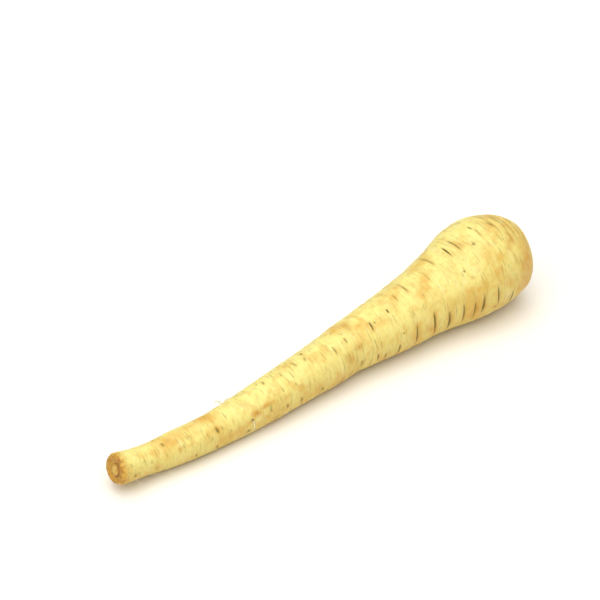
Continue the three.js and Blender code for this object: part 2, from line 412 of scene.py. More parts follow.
@dataclass(frozen=True)
class RootForm:
    """The plain shape of the root: its stations, its cross-section, its creases and its rows of slits."""

    # x, radius, how far the axis bows to +Y, and its height above the table
    stations: tuple[tuple[float, float, float, float], ...] = (
        (0, 7.9, 0.8, 12.9),
        (22, 7.6, -0.8, 9.7),
        (39, 8.7, -2.6, 9.5),
        (56, 9.1, -3.5, 9.3),
        (75, 10.2, -3.5, 9.7),
        (95, 11.3, -3.4, 11.3),
        (116, 12.1, -2.6, 12.6),
        (138, 13.3, -1.7, 14.2),
        (148, 13.7, -0.8, 15.0),
        (160, 14.9, -1.2, 15.8),
        (181, 17.0, -1.3, 17.6),
        (201, 18.9, -0.8, 19.4),
        (217, 22.0, -1.3, 22.0),
        (231, 25.2, -1.2, 24.1),
        (243, 26.0, -0.9, 24.9),
        (268, 26.0, -1.7, 24.4),
    )
    middle: tuple[float, float] = (137.209, -1.127)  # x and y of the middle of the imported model's box
    oval: float = 0.012
    three_lobes: float = 0.01
    oval_start: float = 0.9
    three_lobes_start: float = 2.2
    lobe_twist: float = 0.021
    tail_tilt: float = 0.22
    tail_tilt_run: float = 26
    tail_roll: float = 4.2
    shoulder_x: float = 240
    shoulder_creases: int = 8
    shoulder_steps: int = 60
    rim_x: float = 268.5
    rim_radius: float = 12.8
    rim_wave: float = 0.9
    # the waves it is made of, each with its share, how many there are in a turn, and its start in radians
    rim_waves: tuple[tuple[float, int, float], ...] = ((0.5, 2, 0.6), (0.3, 3, 0.0))
    groove_radius: float = 9.7
    first_crease: float = 8.5
    crease_gap: float = 3.4
    crease_gap_share: float = 0.165
    crease_gap_spread: float = 0.28
    crease_depth: float = 0.14
    crease_depth_share: float = 0.016
    shallowest_crease: float = 0.5
    crease_between_rows: float = 0.3
    crease_worn_off: float = 0.7
    crease_worn_power: int = 4
    rows: tuple[float, ...] = (8, 98, 188, 276)
    row_wander: float = 13
    row_wander_rate: float = 0.045
    row_phase: float = 2.1
    row_half_width: float = 34

    def along(self, column: Column, x: np.ndarray) -> np.ndarray:
        """Reads one column of the stations on a smooth curve through all of them.

        Args:
            column: Which of the station's values.
            x: Where along the root.

        Returns:
            The value at each x, level past the ends.
        """
        table = np.array(self.stations, float)
        xs, ys = table[:, 0], table[:, column.value]
        order = np.arange(len(xs))
        before, after = np.maximum(order - 1, 0), np.minimum(order + 1, len(xs) - 1)
        slopes = (ys[after] - ys[before]) / (xs[after] - xs[before])
        i = np.clip(np.searchsorted(xs, x) - 1, 0, len(xs) - 2)
        run = xs[i + 1] - xs[i]
        t = np.clip((x - xs[i]) / run, 0, 1)
        start = (2 * t**3 - 3 * t**2 + 1) * ys[i] + (t**3 - 2 * t**2 + t) * run * slopes[i]
        end = (3 * t**2 - 2 * t**3) * ys[i + 1] + (t**3 - t**2) * run * slopes[i + 1]
        return start + end

    def at(self, column: Column, x: float) -> float:
        """Reads one column of the stations at one place."""
        return float(self.along(column, np.array(x)))

    @property
    def widest(self) -> float:
        """The radius where the shoulder starts to round over."""
        return self.at(Column.RADIUS, self.shoulder_x)

    def in_crown(self, places: Places) -> np.ndarray:
        """Tells which places are inside the rim of the crown."""
        return (places.x > self.shoulder_x) & (places.radius < self.rim_radius - TINY)

    def on_tail(self, places: Places) -> np.ndarray:
        """Tells which places are on the cut face of the tail or its rolled edge."""
        return places.x < self.tail_roll

    def row_angle(self, row: int, x: np.ndarray) -> np.ndarray:
        """Gives the middle of a row of slits at x, in radians."""
        wander = self.row_wander * np.sin(x * self.row_wander_rate + row * self.row_phase)
        return np.radians(self.rows[row] + wander)

    def near_row(self, x: np.ndarray, angle: np.ndarray) -> np.ndarray:
        """Tells how near a place on the skin is to a row of slits.

        Args:
            x: Where along the root.
            angle: Radians round it.

        Returns:
            1 on a row, falling smoothly to 0 away from it.
        """
        share = np.zeros_like(x)
        for row in range(len(self.rows)):
            away = np.abs(angle_from(self.row_angle(row, x), angle))
            share = np.maximum(share, 1 - away / math.radians(self.row_half_width))
        return smooth_share(share, 0, 1)

    def place(self, x: np.ndarray, distance: np.ndarray, angle: np.ndarray) -> np.ndarray:
        """Finds the point at a distance and an angle from the root's axis, and never under the table.

        Args:
            x: Where along the root.
            distance: How far from its axis.
            angle: Radians round it.

        Returns:
            One row for each point, in metres.
        """
        across = distance * np.cos(angle)
        slope = self.tail_tilt * (1 - np.clip(x / self.tail_tilt_run, 0, 1)) ** 2
        points = [
            x + slope * across - self.middle[0],
            self.along(Column.SIDE, x) - distance * np.sin(angle) - self.middle[1],
            np.maximum(0, self.along(Column.HEIGHT, x) + across),
        ]
        return np.stack(points, axis=-1) * MM

    def lobed(self, x: np.ndarray, radius: np.ndarray, angle: np.ndarray) -> np.ndarray:
        """Gives the skin's distance from the axis, where the plain radius would be the one given."""
        turn = self.lobe_twist * x
        oval = self.oval * np.cos(2 * angle + self.oval_start - turn)
        lobes = self.three_lobes * np.cos(3 * angle + self.three_lobes_start + turn)
        return radius * (1 + oval + lobes)

    def shoulder_turn(self, x: np.ndarray, radius: np.ndarray) -> np.ndarray:
        """Gives how far round the shoulder's ellipse a place is, from 0 at its widest to a quarter turn."""
        out = np.maximum((radius - self.rim_radius) / (self.widest - self.rim_radius), TINY)
        return np.arctan2(np.maximum(x - self.shoulder_x, 0) / (self.rim_x - self.shoulder_x), out)

    def skin_length(self, x: np.ndarray, radius: np.ndarray) -> np.ndarray:
        """Measures along the skin instead of the axis, so that a pattern keeps its size over the shoulder.

        Args:
            x: Where along the root.
            radius: The plain radius there.

        Returns:
            The length of skin from the tail.
        """
        turns = np.linspace(0, math.pi / 2, self.shoulder_steps)
        ends = np.sin(turns) * (self.rim_x - self.shoulder_x)
        radii = np.cos(turns) * (self.widest - self.rim_radius)
        lengths = np.concatenate([[0], np.cumsum(np.hypot(np.diff(ends), np.diff(radii)))])
        past = np.interp(self.shoulder_turn(x, radius), turns, lengths)
        return np.where(x > self.shoulder_x, self.shoulder_x + past, x)

    def crease_places(self) -> tuple[np.ndarray, np.ndarray]:
        """Gives where each crease of the long body lies, and how deep it is."""
        places, depths = [], []
        x = self.first_crease
        while x < self.shoulder_x:
            i = len(places)
            radius = self.at(Column.RADIUS, x)
            share = self.shallowest_crease + jitter(i, Series.CREASE_DEPTH)
            places.append(x)
            depths.append((self.crease_depth + self.crease_depth_share * radius) * share)
            gap = self.crease_gap + self.crease_gap_share * radius
            x += gap * (1 + self.crease_gap_spread * 2 * sway(i, Series.CREASE_GAP))
        return np.array(places), np.array(depths)

    def creases(self, x: np.ndarray, radius: np.ndarray) -> np.ndarray:
        """Gives how deep the creases round the root are at each place of its outline.

        Args:
            x: Where along the root.
            radius: The plain radius there.

        Returns:
            The depth, sharp in each crease and round between them.
        """
        places, depths = self.crease_places()
        crests = (places[:-1] + places[1:]) / 2
        marks = np.concatenate([places, crests])
        shares = np.concatenate([np.ones_like(places), np.zeros_like(crests)])
        order = np.argsort(marks)
        body = np.interp(x, marks[order], shares[order], left=0, right=0) ** 2 * (x < self.shoulder_x)
        beat = self.shoulder_turn(x, radius) / (math.pi / 2) * self.shoulder_creases
        shoulder = (1 - np.abs(beat % 2 - 1)) ** 2
        shoulder_depth = self.crease_depth + self.crease_depth_share * self.along(Column.RADIUS, x)
        on_shoulder = (x >= self.shoulder_x) & (radius >= self.rim_radius)
        return np.where(on_shoulder, shoulder_depth * shoulder, np.interp(x, places, depths) * body)


@dataclass(frozen=True)
class SkinMarks:
    """The slits and small marks of the skin, read along the root."""

    # x, angle of the middle, and length, of the rows that face up and to the near side
    near_slits: tuple[tuple[float, float, float], ...] = (
        (56, 49, 2.9), (91, -6, 3.0), (101, 4, 3.4), (110.7, -1, 4.4), (118.5, -16, 2.4), (133, 30, 3.6),
        (141.5, 26, 2.8), (158, 30, 4.2), (170.3, 21, 2.4), (178.5, 9, 5.2), (186.5, 2, 7.6),
        (200.5, 7, 7.8), (208.3, -12, 9.5), (218, -2, 8.6), (223, 0, 8.2), (237, 5, 6.0), (42.5, 108, 2.4),
        (54.5, 110, 2.8), (75.8, 74, 2.0), (97.5, 92, 2.6), (106.5, 98, 3.2), (120.5, 104, 3.0),
        (147, 99, 4.2), (157, 101, 4.4), (162, 111, 6.0), (171, 112, 8.6), (182, 94, 11.5),
        (193.7, 92, 13.5), (203, 99, 11.8), (212, 99, 11.8), (218.5, 103, 11.4), (223.5, 97, 11.8),
        (232.3, 91, 6.2),
    )
    far_rows: tuple[int, ...] = (2, 3)
    first_far_slit: float = 24
    far_slit_gap: float = 4.2
    far_slit_gap_share: float = 0.3
    closest_far_slits: float = 0.7
    far_slit_gap_spread: float = 0.6
    far_slit_length_share: float = 0.4
    shortest_far_slit: float = 0.6
    far_slit_length_spread: float = 0.8
    far_slit_spread: float = 9
    table_clearance: float = 4
    marks: tuple[Mark, ...] = (
        Mark(28, 8, 24, Tone.BROWN, 0.7), Mark(31, 2, 21, Tone.ORANGE, 0.9), Mark(34, 50, 66, Tone.ORANGE),
        Mark(36.5, 47, 59, Tone.FAINT), Mark(15, 45, 58, Tone.FAINT), Mark(7.5, 45, 60, Tone.FAINT),
        Mark(19, 55, 70, Tone.FAINT), Mark(56, 40, 58, Tone.BROWN, 0.9), Mark(59, 44, 56, Tone.FAINT),
        Mark(52, 64, 76, Tone.FAINT), Mark(63, 66, 74, Tone.FAINT), Mark(76, 70, 78, Tone.DARK, 0.7),
        Mark(79, 55, 68, Tone.ORANGE, 1.1), Mark(83.5, 54, 61, Tone.ORANGE, 2.4),
        Mark(87.5, 58, 80, Tone.OLIVE), Mark(77, -31, -21, Tone.FAINT), Mark(88, -18, -9, Tone.FAINT),
        Mark(91, -9, 1, Tone.OLIVE), Mark(101, -6, 12, Tone.FAINT), Mark(106.5, -16, -4, Tone.ORANGE),
        Mark(110.7, -13, 11, Tone.OLIVE), Mark(118.5, -21, -11, Tone.DARK), Mark(117, 2, 13, Tone.BROWN),
        Mark(133, 21, 39, Tone.OLIVE), Mark(141.5, 19, 33, Tone.OLIVE), Mark(142, 4, 11, Tone.FAINT),
        Mark(148, -16, 16, Tone.ORANGE, 2.2), Mark(158, 21, 39, Tone.DARK, 0.6),
        Mark(160.5, 25, 29, Tone.DARK), Mark(170.3, 17, 26, Tone.DARK), Mark(178.5, -1, 19, Tone.FAINT),
        Mark(105, 44, 53, Tone.FAINT), Mark(97, 39, 49, Tone.FAINT), Mark(173.5, 74, 76, Tone.DARK),
        Mark(139, 50, 80, Tone.ORANGE, 2.6), Mark(147, 50, 62, Tone.ORANGE, 3.2),
        Mark(200.5, -6, 21, Tone.FAINT), Mark(208.3, -36, 3, Tone.FAINT, 0.7), Mark(218, -13, 9, Tone.DARK),
        Mark(236, -8, -2, Tone.DARK), Mark(230, 14.5, 17.5, Tone.DARK, 0.9), Mark(245, 19, 33, Tone.FAINT),
        Mark(220.5, 24, 26, Tone.DARK), Mark(217.5, 37, 39, Tone.DARK), Mark(220, 50, 54, Tone.ORANGE, 1.0),
        Mark(228, 4, 13, Tone.ORANGE, 0.8), Mark(247, -1, 9, Tone.BROWN), Mark(242, -9, 9, Tone.FAINT),
        Mark(252, -10, 8, Tone.FAINT), Mark(251, 30, 40, Tone.ORANGE, 1.6),
        Mark(246, 40, 46, Tone.ORANGE, 1.3), Mark(192, 31, 35, Tone.ORANGE, 1.2),
        Mark(9, 88, 106, Tone.BROWN), Mark(11, 84, 96, Tone.FAINT), Mark(21, 84, 111, Tone.FAINT),
        Mark(73.5, 99, 111, Tone.BROWN, 1.2), Mark(94, 84, 96, Tone.FAINT),
        Mark(134, 100, 140, Tone.ORANGE, 2.4), Mark(193.7, 70, 113, Tone.DARK, 0.6),
        Mark(231, 106, 110, Tone.BROWN, 0.9), Mark(243.5, 99, 118, Tone.DARK, 0.7),
        Mark(190, 90, 100, Tone.ORANGE, 1.0), Mark(186.5, -21, 13, Tone.OLIVE),
        Mark(223, -16, 13, Tone.OLIVE), Mark(237, 1, 13, Tone.OLIVE), Mark(248, -30, 28, Tone.FAINT, 0.8),
        Mark(253, -24, 34, Tone.FAINT, 0.7), Mark(256.5, -30, 44, Tone.RUSTY, 0.8),
        Mark(260, -30, 40, Tone.RUSTY, 0.7), Mark(263, -40, 60, Tone.RUSTY, 0.8),
        Mark(232.3, 80, 104, Tone.DARK, 0.6),
    )
    patches: tuple[Patch, ...] = (
        Patch(105.5, -10, 2.2, 14, 0.4), Patch(118, 5, 1.5, 10, 0.45), Patch(148, -8, 2.4, 15, 0.5),
        Patch(116, 32, 2.5, 8, 0.2), Patch(121.5, 28, 1.0, 10, 0.25), Patch(157.5, 34, 1.5, 8, 0.35),
        Patch(166, 32, 3.0, 8, 0.25), Patch(174, 20, 2.5, 10, 0.4), Patch(172, 5, 2.0, 10, 0.25),
        Patch(139.5, 65, 2.5, 16, 0.5), Patch(146, 52, 4.0, 9, 0.35), Patch(96.5, 65, 2.0, 8, 0.4),
        Patch(92, 60, 3.0, 12, 0.3), Patch(85.5, 55, 3.5, 5, 0.8), Patch(79, 62, 2.0, 9, 0.85),
        Patch(75, 74, 2.5, 6, 0.4), Patch(65, 90, 5.0, 12, 0.35), Patch(52, 70, 4.0, 10, 0.3),
        Patch(58, 85, 3.0, 8, 0.35), Patch(34.5, 58, 1.2, 10, 0.6), Patch(31.3, 7, 1.2, 10, 0.5),
        Patch(28.5, 15, 1.0, 6, 0.35), Patch(37, 10, 4.0, 15, 0.2), Patch(56, 48, 1.3, 9, 0.7),
        Patch(50, -5, 6.0, 15, 0.3), Patch(9, 100, 2.0, 14, 0.5), Patch(21, 95, 1.4, 14, 0.4),
        Patch(183, -10, 2.5, 10, 0.35), Patch(192, 32, 3.0, 8, 0.4), Patch(192, 55, 3.0, 12, 0.25),
        Patch(226, 5, 3.0, 8, 0.5), Patch(229, 16, 2.5, 8, 0.35), Patch(212, 25, 3.0, 12, 0.25),
        Patch(220, 15, 4.0, 12, 0.25), Patch(233, 35, 4.0, 10, 0.3), Patch(234, 64, 3.0, 5, 0.45),
        Patch(238, 75, 3.0, 6, 0.3), Patch(246, 0, 2.0, 14, 0.45), Patch(247.5, 43, 2.0, 5, 0.6),
        Patch(252, 33, 2.2, 9, 0.75), Patch(258, 80, 6.0, 30, 0.7), Patch(256, 105, 5.0, 22, 0.6),
        Patch(252, -12, 5.0, 18, 0.5), Patch(258, 12, 6.0, 26, 0.45), Patch(259, 45, 6.0, 24, 0.5),
        Patch(182.5, 95, 1.8, 18, 0.35), Patch(190, 94, 2.0, 8, 0.5), Patch(261, 200, 6.0, 50, 0.4),
        Patch(204, 95, 2.0, 16, 0.35), Patch(213, 108, 2.0, 10, 0.4), Patch(220, 105, 2.5, 15, 0.4),
        Patch(231, 108, 1.5, 5, 0.6), Patch(133, 112, 3.0, 16, 0.55), Patch(106.5, 98, 1.3, 12, 0.55),
        Patch(97.5, 92, 1.2, 10, 0.4), Patch(118, 100, 1.6, 12, 0.45), Patch(158, 100, 1.6, 12, 0.4),
        Patch(163, 112, 2.0, 12, 0.4), Patch(201, 8, 2.0, 12, 0.25), Patch(186.5, 6, 2.0, 10, 0.25),
    )

    def slits(self, form: RootForm) -> list[Slit]:
        """Gives every slit of the root, the near rows' as read and the far rows' by a formula.

        Args:
            form: The shape that the slits are cut into.

        Returns:
            The slits, apart from those so low that they would cut the resting flats.
        """
        found = [Slit(*values) for values in self.near_slits]
        for row in self.far_rows:
            x, i = self.first_far_slit, 0
            while x < form.shoulder_x:
                radius = form.at(Column.RADIUS, x)
                turn = math.radians(self.far_slit_spread) * sway(i, Series.FAR_SLIT_ANGLE, row)
                angle = float(form.row_angle(row, np.array(x))) + turn
                share = self.shortest_far_slit
                share += self.far_slit_length_spread * jitter(i, Series.FAR_SLIT_LENGTH, row)
                if form.at(Column.HEIGHT, x) + radius * math.cos(angle) > self.table_clearance:
                    found.append(Slit(x, math.degrees(angle), self.far_slit_length_share * radius * share))
                gap = self.far_slit_gap + self.far_slit_gap_share * radius
                spread = self.far_slit_gap_spread * jitter(i, Series.FAR_SLIT_GAP, row)
                x += gap * (self.closest_far_slits + spread)
                i += 1
        return found


@dataclass(frozen=True)
class Rise:
    """A share that goes smoothly from 0 at low to top at high, where low may be the larger of the two."""

    low: float
    high: float
    top: float = 1.0


@dataclass(frozen=True)
class SoftPatches:
    """How many soft patches there are in a metre, and the noise where they start and where they are full."""

    count: float
    low: float
    high: float


class NodeBoard:
    """Adds nodes to one node tree and joins them."""

    def __init__(self, tree: bpy.types.NodeTree) -> None:
        """Keeps the tree that the nodes go into."""
        self.tree = tree

    @classmethod
    def of_material(cls, name: str) -> tuple[NodeBoard, bpy.types.Material]:
        """Starts a material with an empty node tree.

        Args:
            name: The material's name.

        Returns:
            The board for its tree, and the material.
        """
        material = bpy.data.materials.new(name)
        material.use_nodes = True
        material.node_tree.nodes.clear()
        return cls(material.node_tree), material

    def add(self, kind: str, inputs: dict | None = None, **settings: object) -> bpy.types.Node:
        """Adds a node.

        Args:
            kind: Its type.
            inputs: A value or another node's socket for each of its inputs, by name or place.
            **settings: Its own properties.

        Returns:
            The new node.
        """
        node = self.tree.nodes.new(kind)
        for name, value in settings.items():
            setattr(node, name, value)
        for key, value in (inputs or {}).items():
            if isinstance(value, Socket):
                self.tree.links.new(value, node.inputs[key])
            else:
                node.inputs[key].default_value = value
        return node

    def place(self) -> Socket:
        """Gives the place on the piece, in metres."""
        return self.add("ShaderNodeTexCoord").outputs["Object"]

    def attribute(self, name: str) -> Socket:
        """Reads a number that the piece keeps for each vertex."""
        return self.add("ShaderNodeAttribute", attribute_name=name).outputs["Fac"]

    def blend(self, share: object, first: object, second: object) -> Socket:
        """Mixes two colours, each of them a value or a socket, with the given share of the second one."""
        return self.add("ShaderNodeMix", {0: share, 6: first, 7: second}, data_type="RGBA").outputs[2]

    def layered(self, base: object, layers: tuple[tuple[object, object], ...]) -> object:
        """Lays colours over one another.

        Args:
            base: The lowest colour.
            layers: The share and the colour of each layer above it.

        Returns:
            The colour that shows.
        """
        colour = base
        for share, layer in layers:
            colour = self.blend(share, colour, layer)
        return colour

    def number(self, operation: str, first: object, second: object, held: bool = False) -> Socket:
        """Works out one number from two.

        Args:
            operation: What is done with them.
            first: A number or a socket.
            second: A number or a socket.
            held: Whether the result stays between 0 and 1.

        Returns:
            The result.
        """
        node = self.add("ShaderNodeMath", {0: first, 1: second}, operation=operation, use_clamp=held)
        return node.outputs[0]

    def times(self, first: object, second: object, held: bool = False) -> Socket:
        """Multiplies two numbers, and holds the result between 0 and 1 if asked to."""
        return self.number("MULTIPLY", first, second, held)

    def step(self, value: object, rise: Rise) -> Socket:
        """Turns a number into a share that rises smoothly."""
        inputs = {"Value": value, "From Min": rise.low, "From Max": rise.high, "To Max": rise.top}
        return self.add("ShaderNodeMapRange", inputs, interpolation_type="SMOOTHSTEP").outputs["Result"]

    def bump(self, height: object, strength: float, distance: float) -> Socket:
        """Turns a height into a normal, with the distance in metres of a height of 1."""
        inputs = {"Height": height, "Strength": strength, "Distance": distance}
        return self.add("ShaderNodeBump", inputs).outputs["Normal"]

    def ramp(self, share: object, stops: dict[float, str]) -> Socket:
        """Picks a colour along a row of colours.

        Args:
            share: Where along the row.
            stops: The colours, by their places from 0 to 1.

        Returns:
            The colour.
        """
        node = self.add("ShaderNodeValToRGB", {0: share})
        elements = node.color_ramp.elements
        for i, (where, colour) in enumerate(stops.items()):
            element = elements[i] if i < 2 else elements.new(where)
            element.position = where
            element.color = linear(colour)
        return node.outputs["Color"]

    def finish(self, shader_inputs: dict) -> None:
        """Puts the surface shader and the output at the end of a material's nodes."""
        shader = self.add("ShaderNodeBsdfPrincipled", shader_inputs)
        self.add("ShaderNodeOutputMaterial", {"Surface": shader.outputs["BSDF"]})


class SharedEffects:
    """The effects that several finishes use, each a node group that is built once."""

    patch_detail = 4.0
    grain_detail = 3.0

    def __init__(self) -> None:
        """Builds the groups."""
        self.mottle_group = self._mottle()
        self.grain_group = self._grain()

    @staticmethod
    def _group(name: str, takes: dict, gives: str) -> tuple[NodeBoard, bpy.types.Node]:
        """Starts a node group.

        Args:
            name: The group's name.
            takes: Each input's socket type and value, by its name.
            gives: The name of its one output, a number.

        Returns:
            The board for its tree, and the node that its inputs come from.
        """
        tree = bpy.data.node_groups.new(name, "ShaderNodeTree")
        for socket_name, (kind, value) in takes.items():
            socket = tree.interface.new_socket(name=socket_name, in_out="INPUT", socket_type=kind)
            socket.default_value = value
        tree.interface.new_socket(name=gives, in_out="OUTPUT", socket_type="NodeSocketFloat")
        board = NodeBoard(tree)
        return board, board.add("NodeGroupInput")

    def _mottle(self) -> bpy.types.NodeTree:
        """Builds soft patches of a given size."""
        takes = {
            "Vector": ("NodeSocketVector", (0.0, 0.0, 0.0)),
            "Patches per metre": ("NodeSocketFloat", 40.0),
            "Low": ("NodeSocketFloat", 0.45),
            "High": ("NodeSocketFloat", 0.65),
        }
        board, start = self._group("soft_patches", takes, "Mask")
        inputs = {
            "Vector": start.outputs["Vector"],
            "Scale": start.outputs["Patches per metre"],
            "Detail": self.patch_detail,
        }
        cloud = board.add("ShaderNodeTexNoise", inputs).outputs[0]
        edge = board.add(
            "ShaderNodeMapRange",
            {"Value": cloud, "From Min": start.outputs["Low"], "From Max": start.outputs["High"]},
            interpolation_type="SMOOTHSTEP",
        )
        board.add("NodeGroupOutput", {"Mask": edge.outputs["Result"]})
        return board.tree

    def _grain(self) -> bpy.types.NodeTree:
        """Builds a grain that is drawn out more in some directions than in others."""
        takes = {
            "Vector": ("NodeSocketVector", (0.0, 0.0, 0.0)),
            "Lines per metre": ("NodeSocketVector", (600.0, 60.0, 60.0)),
        }
        board, start = self._group("drawn_out_grain", takes, "Height")
        drawn = board.add(
            "ShaderNodeVectorMath",
            {0: start.outputs["Vector"], 1: start.outputs["Lines per metre"]},
            operation="MULTIPLY",
        )
        inputs = {"Vector": drawn.outputs[0], "Scale": 1.0, "Detail": self.grain_detail}
        lines = board.add("ShaderNodeTexNoise", inputs)
        board.add("NodeGroupOutput", {"Height": lines.outputs[0]})
        return board.tree

    def patches(self, board: NodeBoard, where: object, kind: SoftPatches) -> Socket:
        """Places soft patches in a material.

        Args:
            board: The material's board.
            where: The place on the piece.
            kind: How many there are, and how they end.

        Returns:
            The mask.
        """
        inputs = {"Vector": where, "Patches per metre": kind.count, "Low": kind.low, "High": kind.high}
        return self._use(board, self.mottle_group, inputs)

    def grain(self, board: NodeBoard, where: object, lines: tuple[float, float, float]) -> Socket:
        """Places a drawn-out grain in a material.

        Args:
            board: The material's board.
            where: The place on the piece.
            lines: How many lines there are in a metre along X, Y and Z.

        Returns:
            The height.
        """
        return self._use(board, self.grain_group, {"Vector": where, "Lines per metre": lines})

    @staticmethod
    def _use(board: NodeBoard, group: bpy.types.NodeTree, inputs: dict) -> Socket:
        """Adds a group to a material and gives its output."""
        node = board.add("ShaderNodeGroup", node_tree=group)
        for name, value in inputs.items():
            if isinstance(value, Socket):
                board.tree.links.new(value, node.inputs[name])
            else:
                node.inputs[name].default_value = value
        return node.outputs[0]


@dataclass(frozen=True)
class SkinFinish:
    """The parsnip's skin: waxy cream with golden patches, olive slits, a dried tail and an earthy crown."""

    cream: Colour = linear("f7ea8f")
    gold: Colour = linear("dea838")
    tan: Colour = linear("d59834")
    olive: Colour = linear("837430")
    dark: Colour = linear("4c431c")
    # painted shade: the colour that the lower side of the root is darkened towards
    shaded: Colour = linear("cdb558")
    pale: Colour = linear("f6ebb4")
    flake: Colour = linear("e6bd56")
    thread: Colour = linear("7a4e18")
    crumb: Colour = linear("dcb372")
    roughness: float = 0.47
    gloss: float = 0.4

    # soft patches from wide to fine, and the lines in a metre of the grains that run round the root
    fields: SoftPatches = SoftPatches(58.0, 0.47, 0.72)
    clouds: SoftPatches = SoftPatches(150.0, 0.49, 0.69)
    blotches: SoftPatches = SoftPatches(330.0, 0.5, 0.66)
    flakes: SoftPatches = SoftPatches(480.0, 0.4, 0.64)
    flecks: SoftPatches = SoftPatches(520.0, 0.56, 0.72)
    crumbs: SoftPatches = SoftPatches(900.0, 0.44, 0.62)
    ring_lines: tuple[float, float, float] = (560.0, 90.0, 90.0)
    thread_lines: tuple[float, float, float] = (1700.0, 210.0, 210.0)
    dash_lines: tuple[float, float, float] = (1350.0, 120.0, 120.0)

    # how strongly each of them colours the skin; underside_shade is painted shade that darkens the lower side
    field_gold: float = 0.58
    underside_shade: float = 0.75
    cloud_gold: float = 0.42
    blotch_tan: float = 0.16
    ring_gold: Rise = Rise(0.53, 0.74, 0.18)
    ring_pale: Rise = Rise(0.44, 0.3, 0.25)
    dash_olive: Rise = Rise(0.58, 0.7, 0.45)
    fleck_tan: Rise = Rise(0.2, 0.9, 0.4)
    stain_and_shade_tan: Rise = Rise(0.2, 0.62, 1.15)
    slit_olive: float = 1.65
    slit_dark: Rise = Rise(0.56, 1.05, 0.85)
    tail_waves: Rise = Rise(0.0, 1.0, 0.13)
    tail_flakes: float = 0.45
    tail_threads: Rise = Rise(0.5, 0.75, 0.55)
    crown_crumbs: float = 0.35

    # how rough and how high each of them is
    ring_rough: Rise = Rise(0.4, 0.7, 0.12)
    crown_rough: float = 0.4
    ring_height: float = 0.6
    thread_height: float = 0.3
    fleck_height: float = 0.12
    dash_depth: Rise = Rise(0.56, 0.7, 0.35)
    bump_strength: float = 0.4
    bump_distance: float = 0.0005

    def material(self, effects: SharedEffects) -> bpy.types.Material:
        """Builds the material.

        Args:
            effects: The shared node groups.

        Returns:
            The material.
        """
        board, material = NodeBoard.of_material("parsnip_skin")
        where = board.add("ShaderNodeAttribute", attribute_name="skin_place").outputs["Vector"]
        fields = effects.patches(board, where, self.fields)
        clouds = effects.patches(board, where, self.clouds)
        blotches = effects.patches(board, where, self.blotches)
        flecks = effects.patches(board, where, self.flecks)
        rings = effects.grain(board, where, self.ring_lines)
        threads = effects.grain(board, where, self.thread_lines)
        dashes = effects.grain(board, where, self.dash_lines)
        slit = board.attribute("slit_shade")
        # the golden stain, with a little painted shade on the lower side mixed into it
        stain = board.times(board.attribute("golden_stain_and_underside_shade"), board.step(threads, self.stain_and_shade_tan), True)
        layers = (
            (board.times(fields, self.field_gold), self.gold),
            # painted shade: darkens the lower side of the root
            (board.times(board.attribute("underside"), self.underside_shade), self.shaded),
            (board.times(clouds, self.cloud_gold), self.gold),
            (board.times(blotches, self.blotch_tan), self.tan),
            (board.step(rings, self.ring_gold), self.gold),
            (board.step(rings, self.ring_pale), self.pale),
            (board.step(dashes, self.dash_olive), self.olive),
            (board.times(flecks, board.step(clouds, self.fleck_tan)), self.tan),
            # golden stain, and painted shade on the lower side
            (stain, self.tan),
            (board.times(slit, self.slit_olive, True), self.olive),
            (board.step(slit, self.slit_dark), self.dark),
            (board.attribute("tail"), self._tail(board, threads, effects.patches(board, where, self.flakes))),
            (board.attribute("crown"), self._crown(board, effects.patches(board, where, self.crumbs))),
        )
        rough = board.number("ADD", board.step(rings, self.ring_rough), self.roughness)
        rough = board.number("ADD", rough, board.times(board.attribute("crown"), self.crown_rough), True)
        height = board.number(
            "ADD", board.times(rings, self.ring_height), board.times(threads, self.thread_height)
        )
        height = board.number("ADD", height, board.times(flecks, self.fleck_height))
        height = board.number("SUBTRACT", height, board.step(dashes, self.dash_depth))
        board.finish(
            {
                "Base Color": board.layered(self.cream, layers),
                "Roughness": rough,
                "Normal": board.bump(height, self.bump_strength, self.bump_distance),
                "Specular IOR Level": self.gloss,
                "Subsurface Weight": 0.1,
                "Subsurface Radius": (1.0, 0.7, 0.35),
                "Subsurface Scale": 0.003,
            }
        )
        return material

    def _tail(self, board: NodeBoard, threads: Socket, flakes: Socket) -> object:
        """Colours the dried tail: a pale woody core in a brown ring, then golden brown to the rolled edge."""
        rings = board.ramp(
            board.number("ADD", board.attribute("tail_ring"), board.step(flakes, self.tail_waves)),
            {
                0.0: "d6ae4c",
                0.27: "dfba5c",
                0.4: "a86c1c",
                0.52: "c68f34",
                0.78: "bb8732",
                0.95: "ae741f",
                1.0: "d09a30",
            },
        )
        layers = (
            (board.times(flakes, self.tail_flakes), self.flake),
            (board.step(threads, self.tail_threads), self.thread),
        )
        return board.layered(rings, layers)

    def _crown(self, board: NodeBoard, crumbs: Socket) -> object:
        """Colours the crown: a browned rim, a groove that is nearly black, and a crumbly brown cushion."""
        earth = board.ramp(
            board.attribute("crown_ring"),
            {
                0.0: "c9a355",
                0.05: "5d4120",
                0.1: "1c130a",
                0.27: "170f08",
                0.34: "7d5c30",
                0.5: "b48d50",
                0.61: "80602f",
                1.0: "3a2a14",
            },
        )
        return board.blend(board.times(crumbs, self.crown_crumbs), earth, self.crumb)


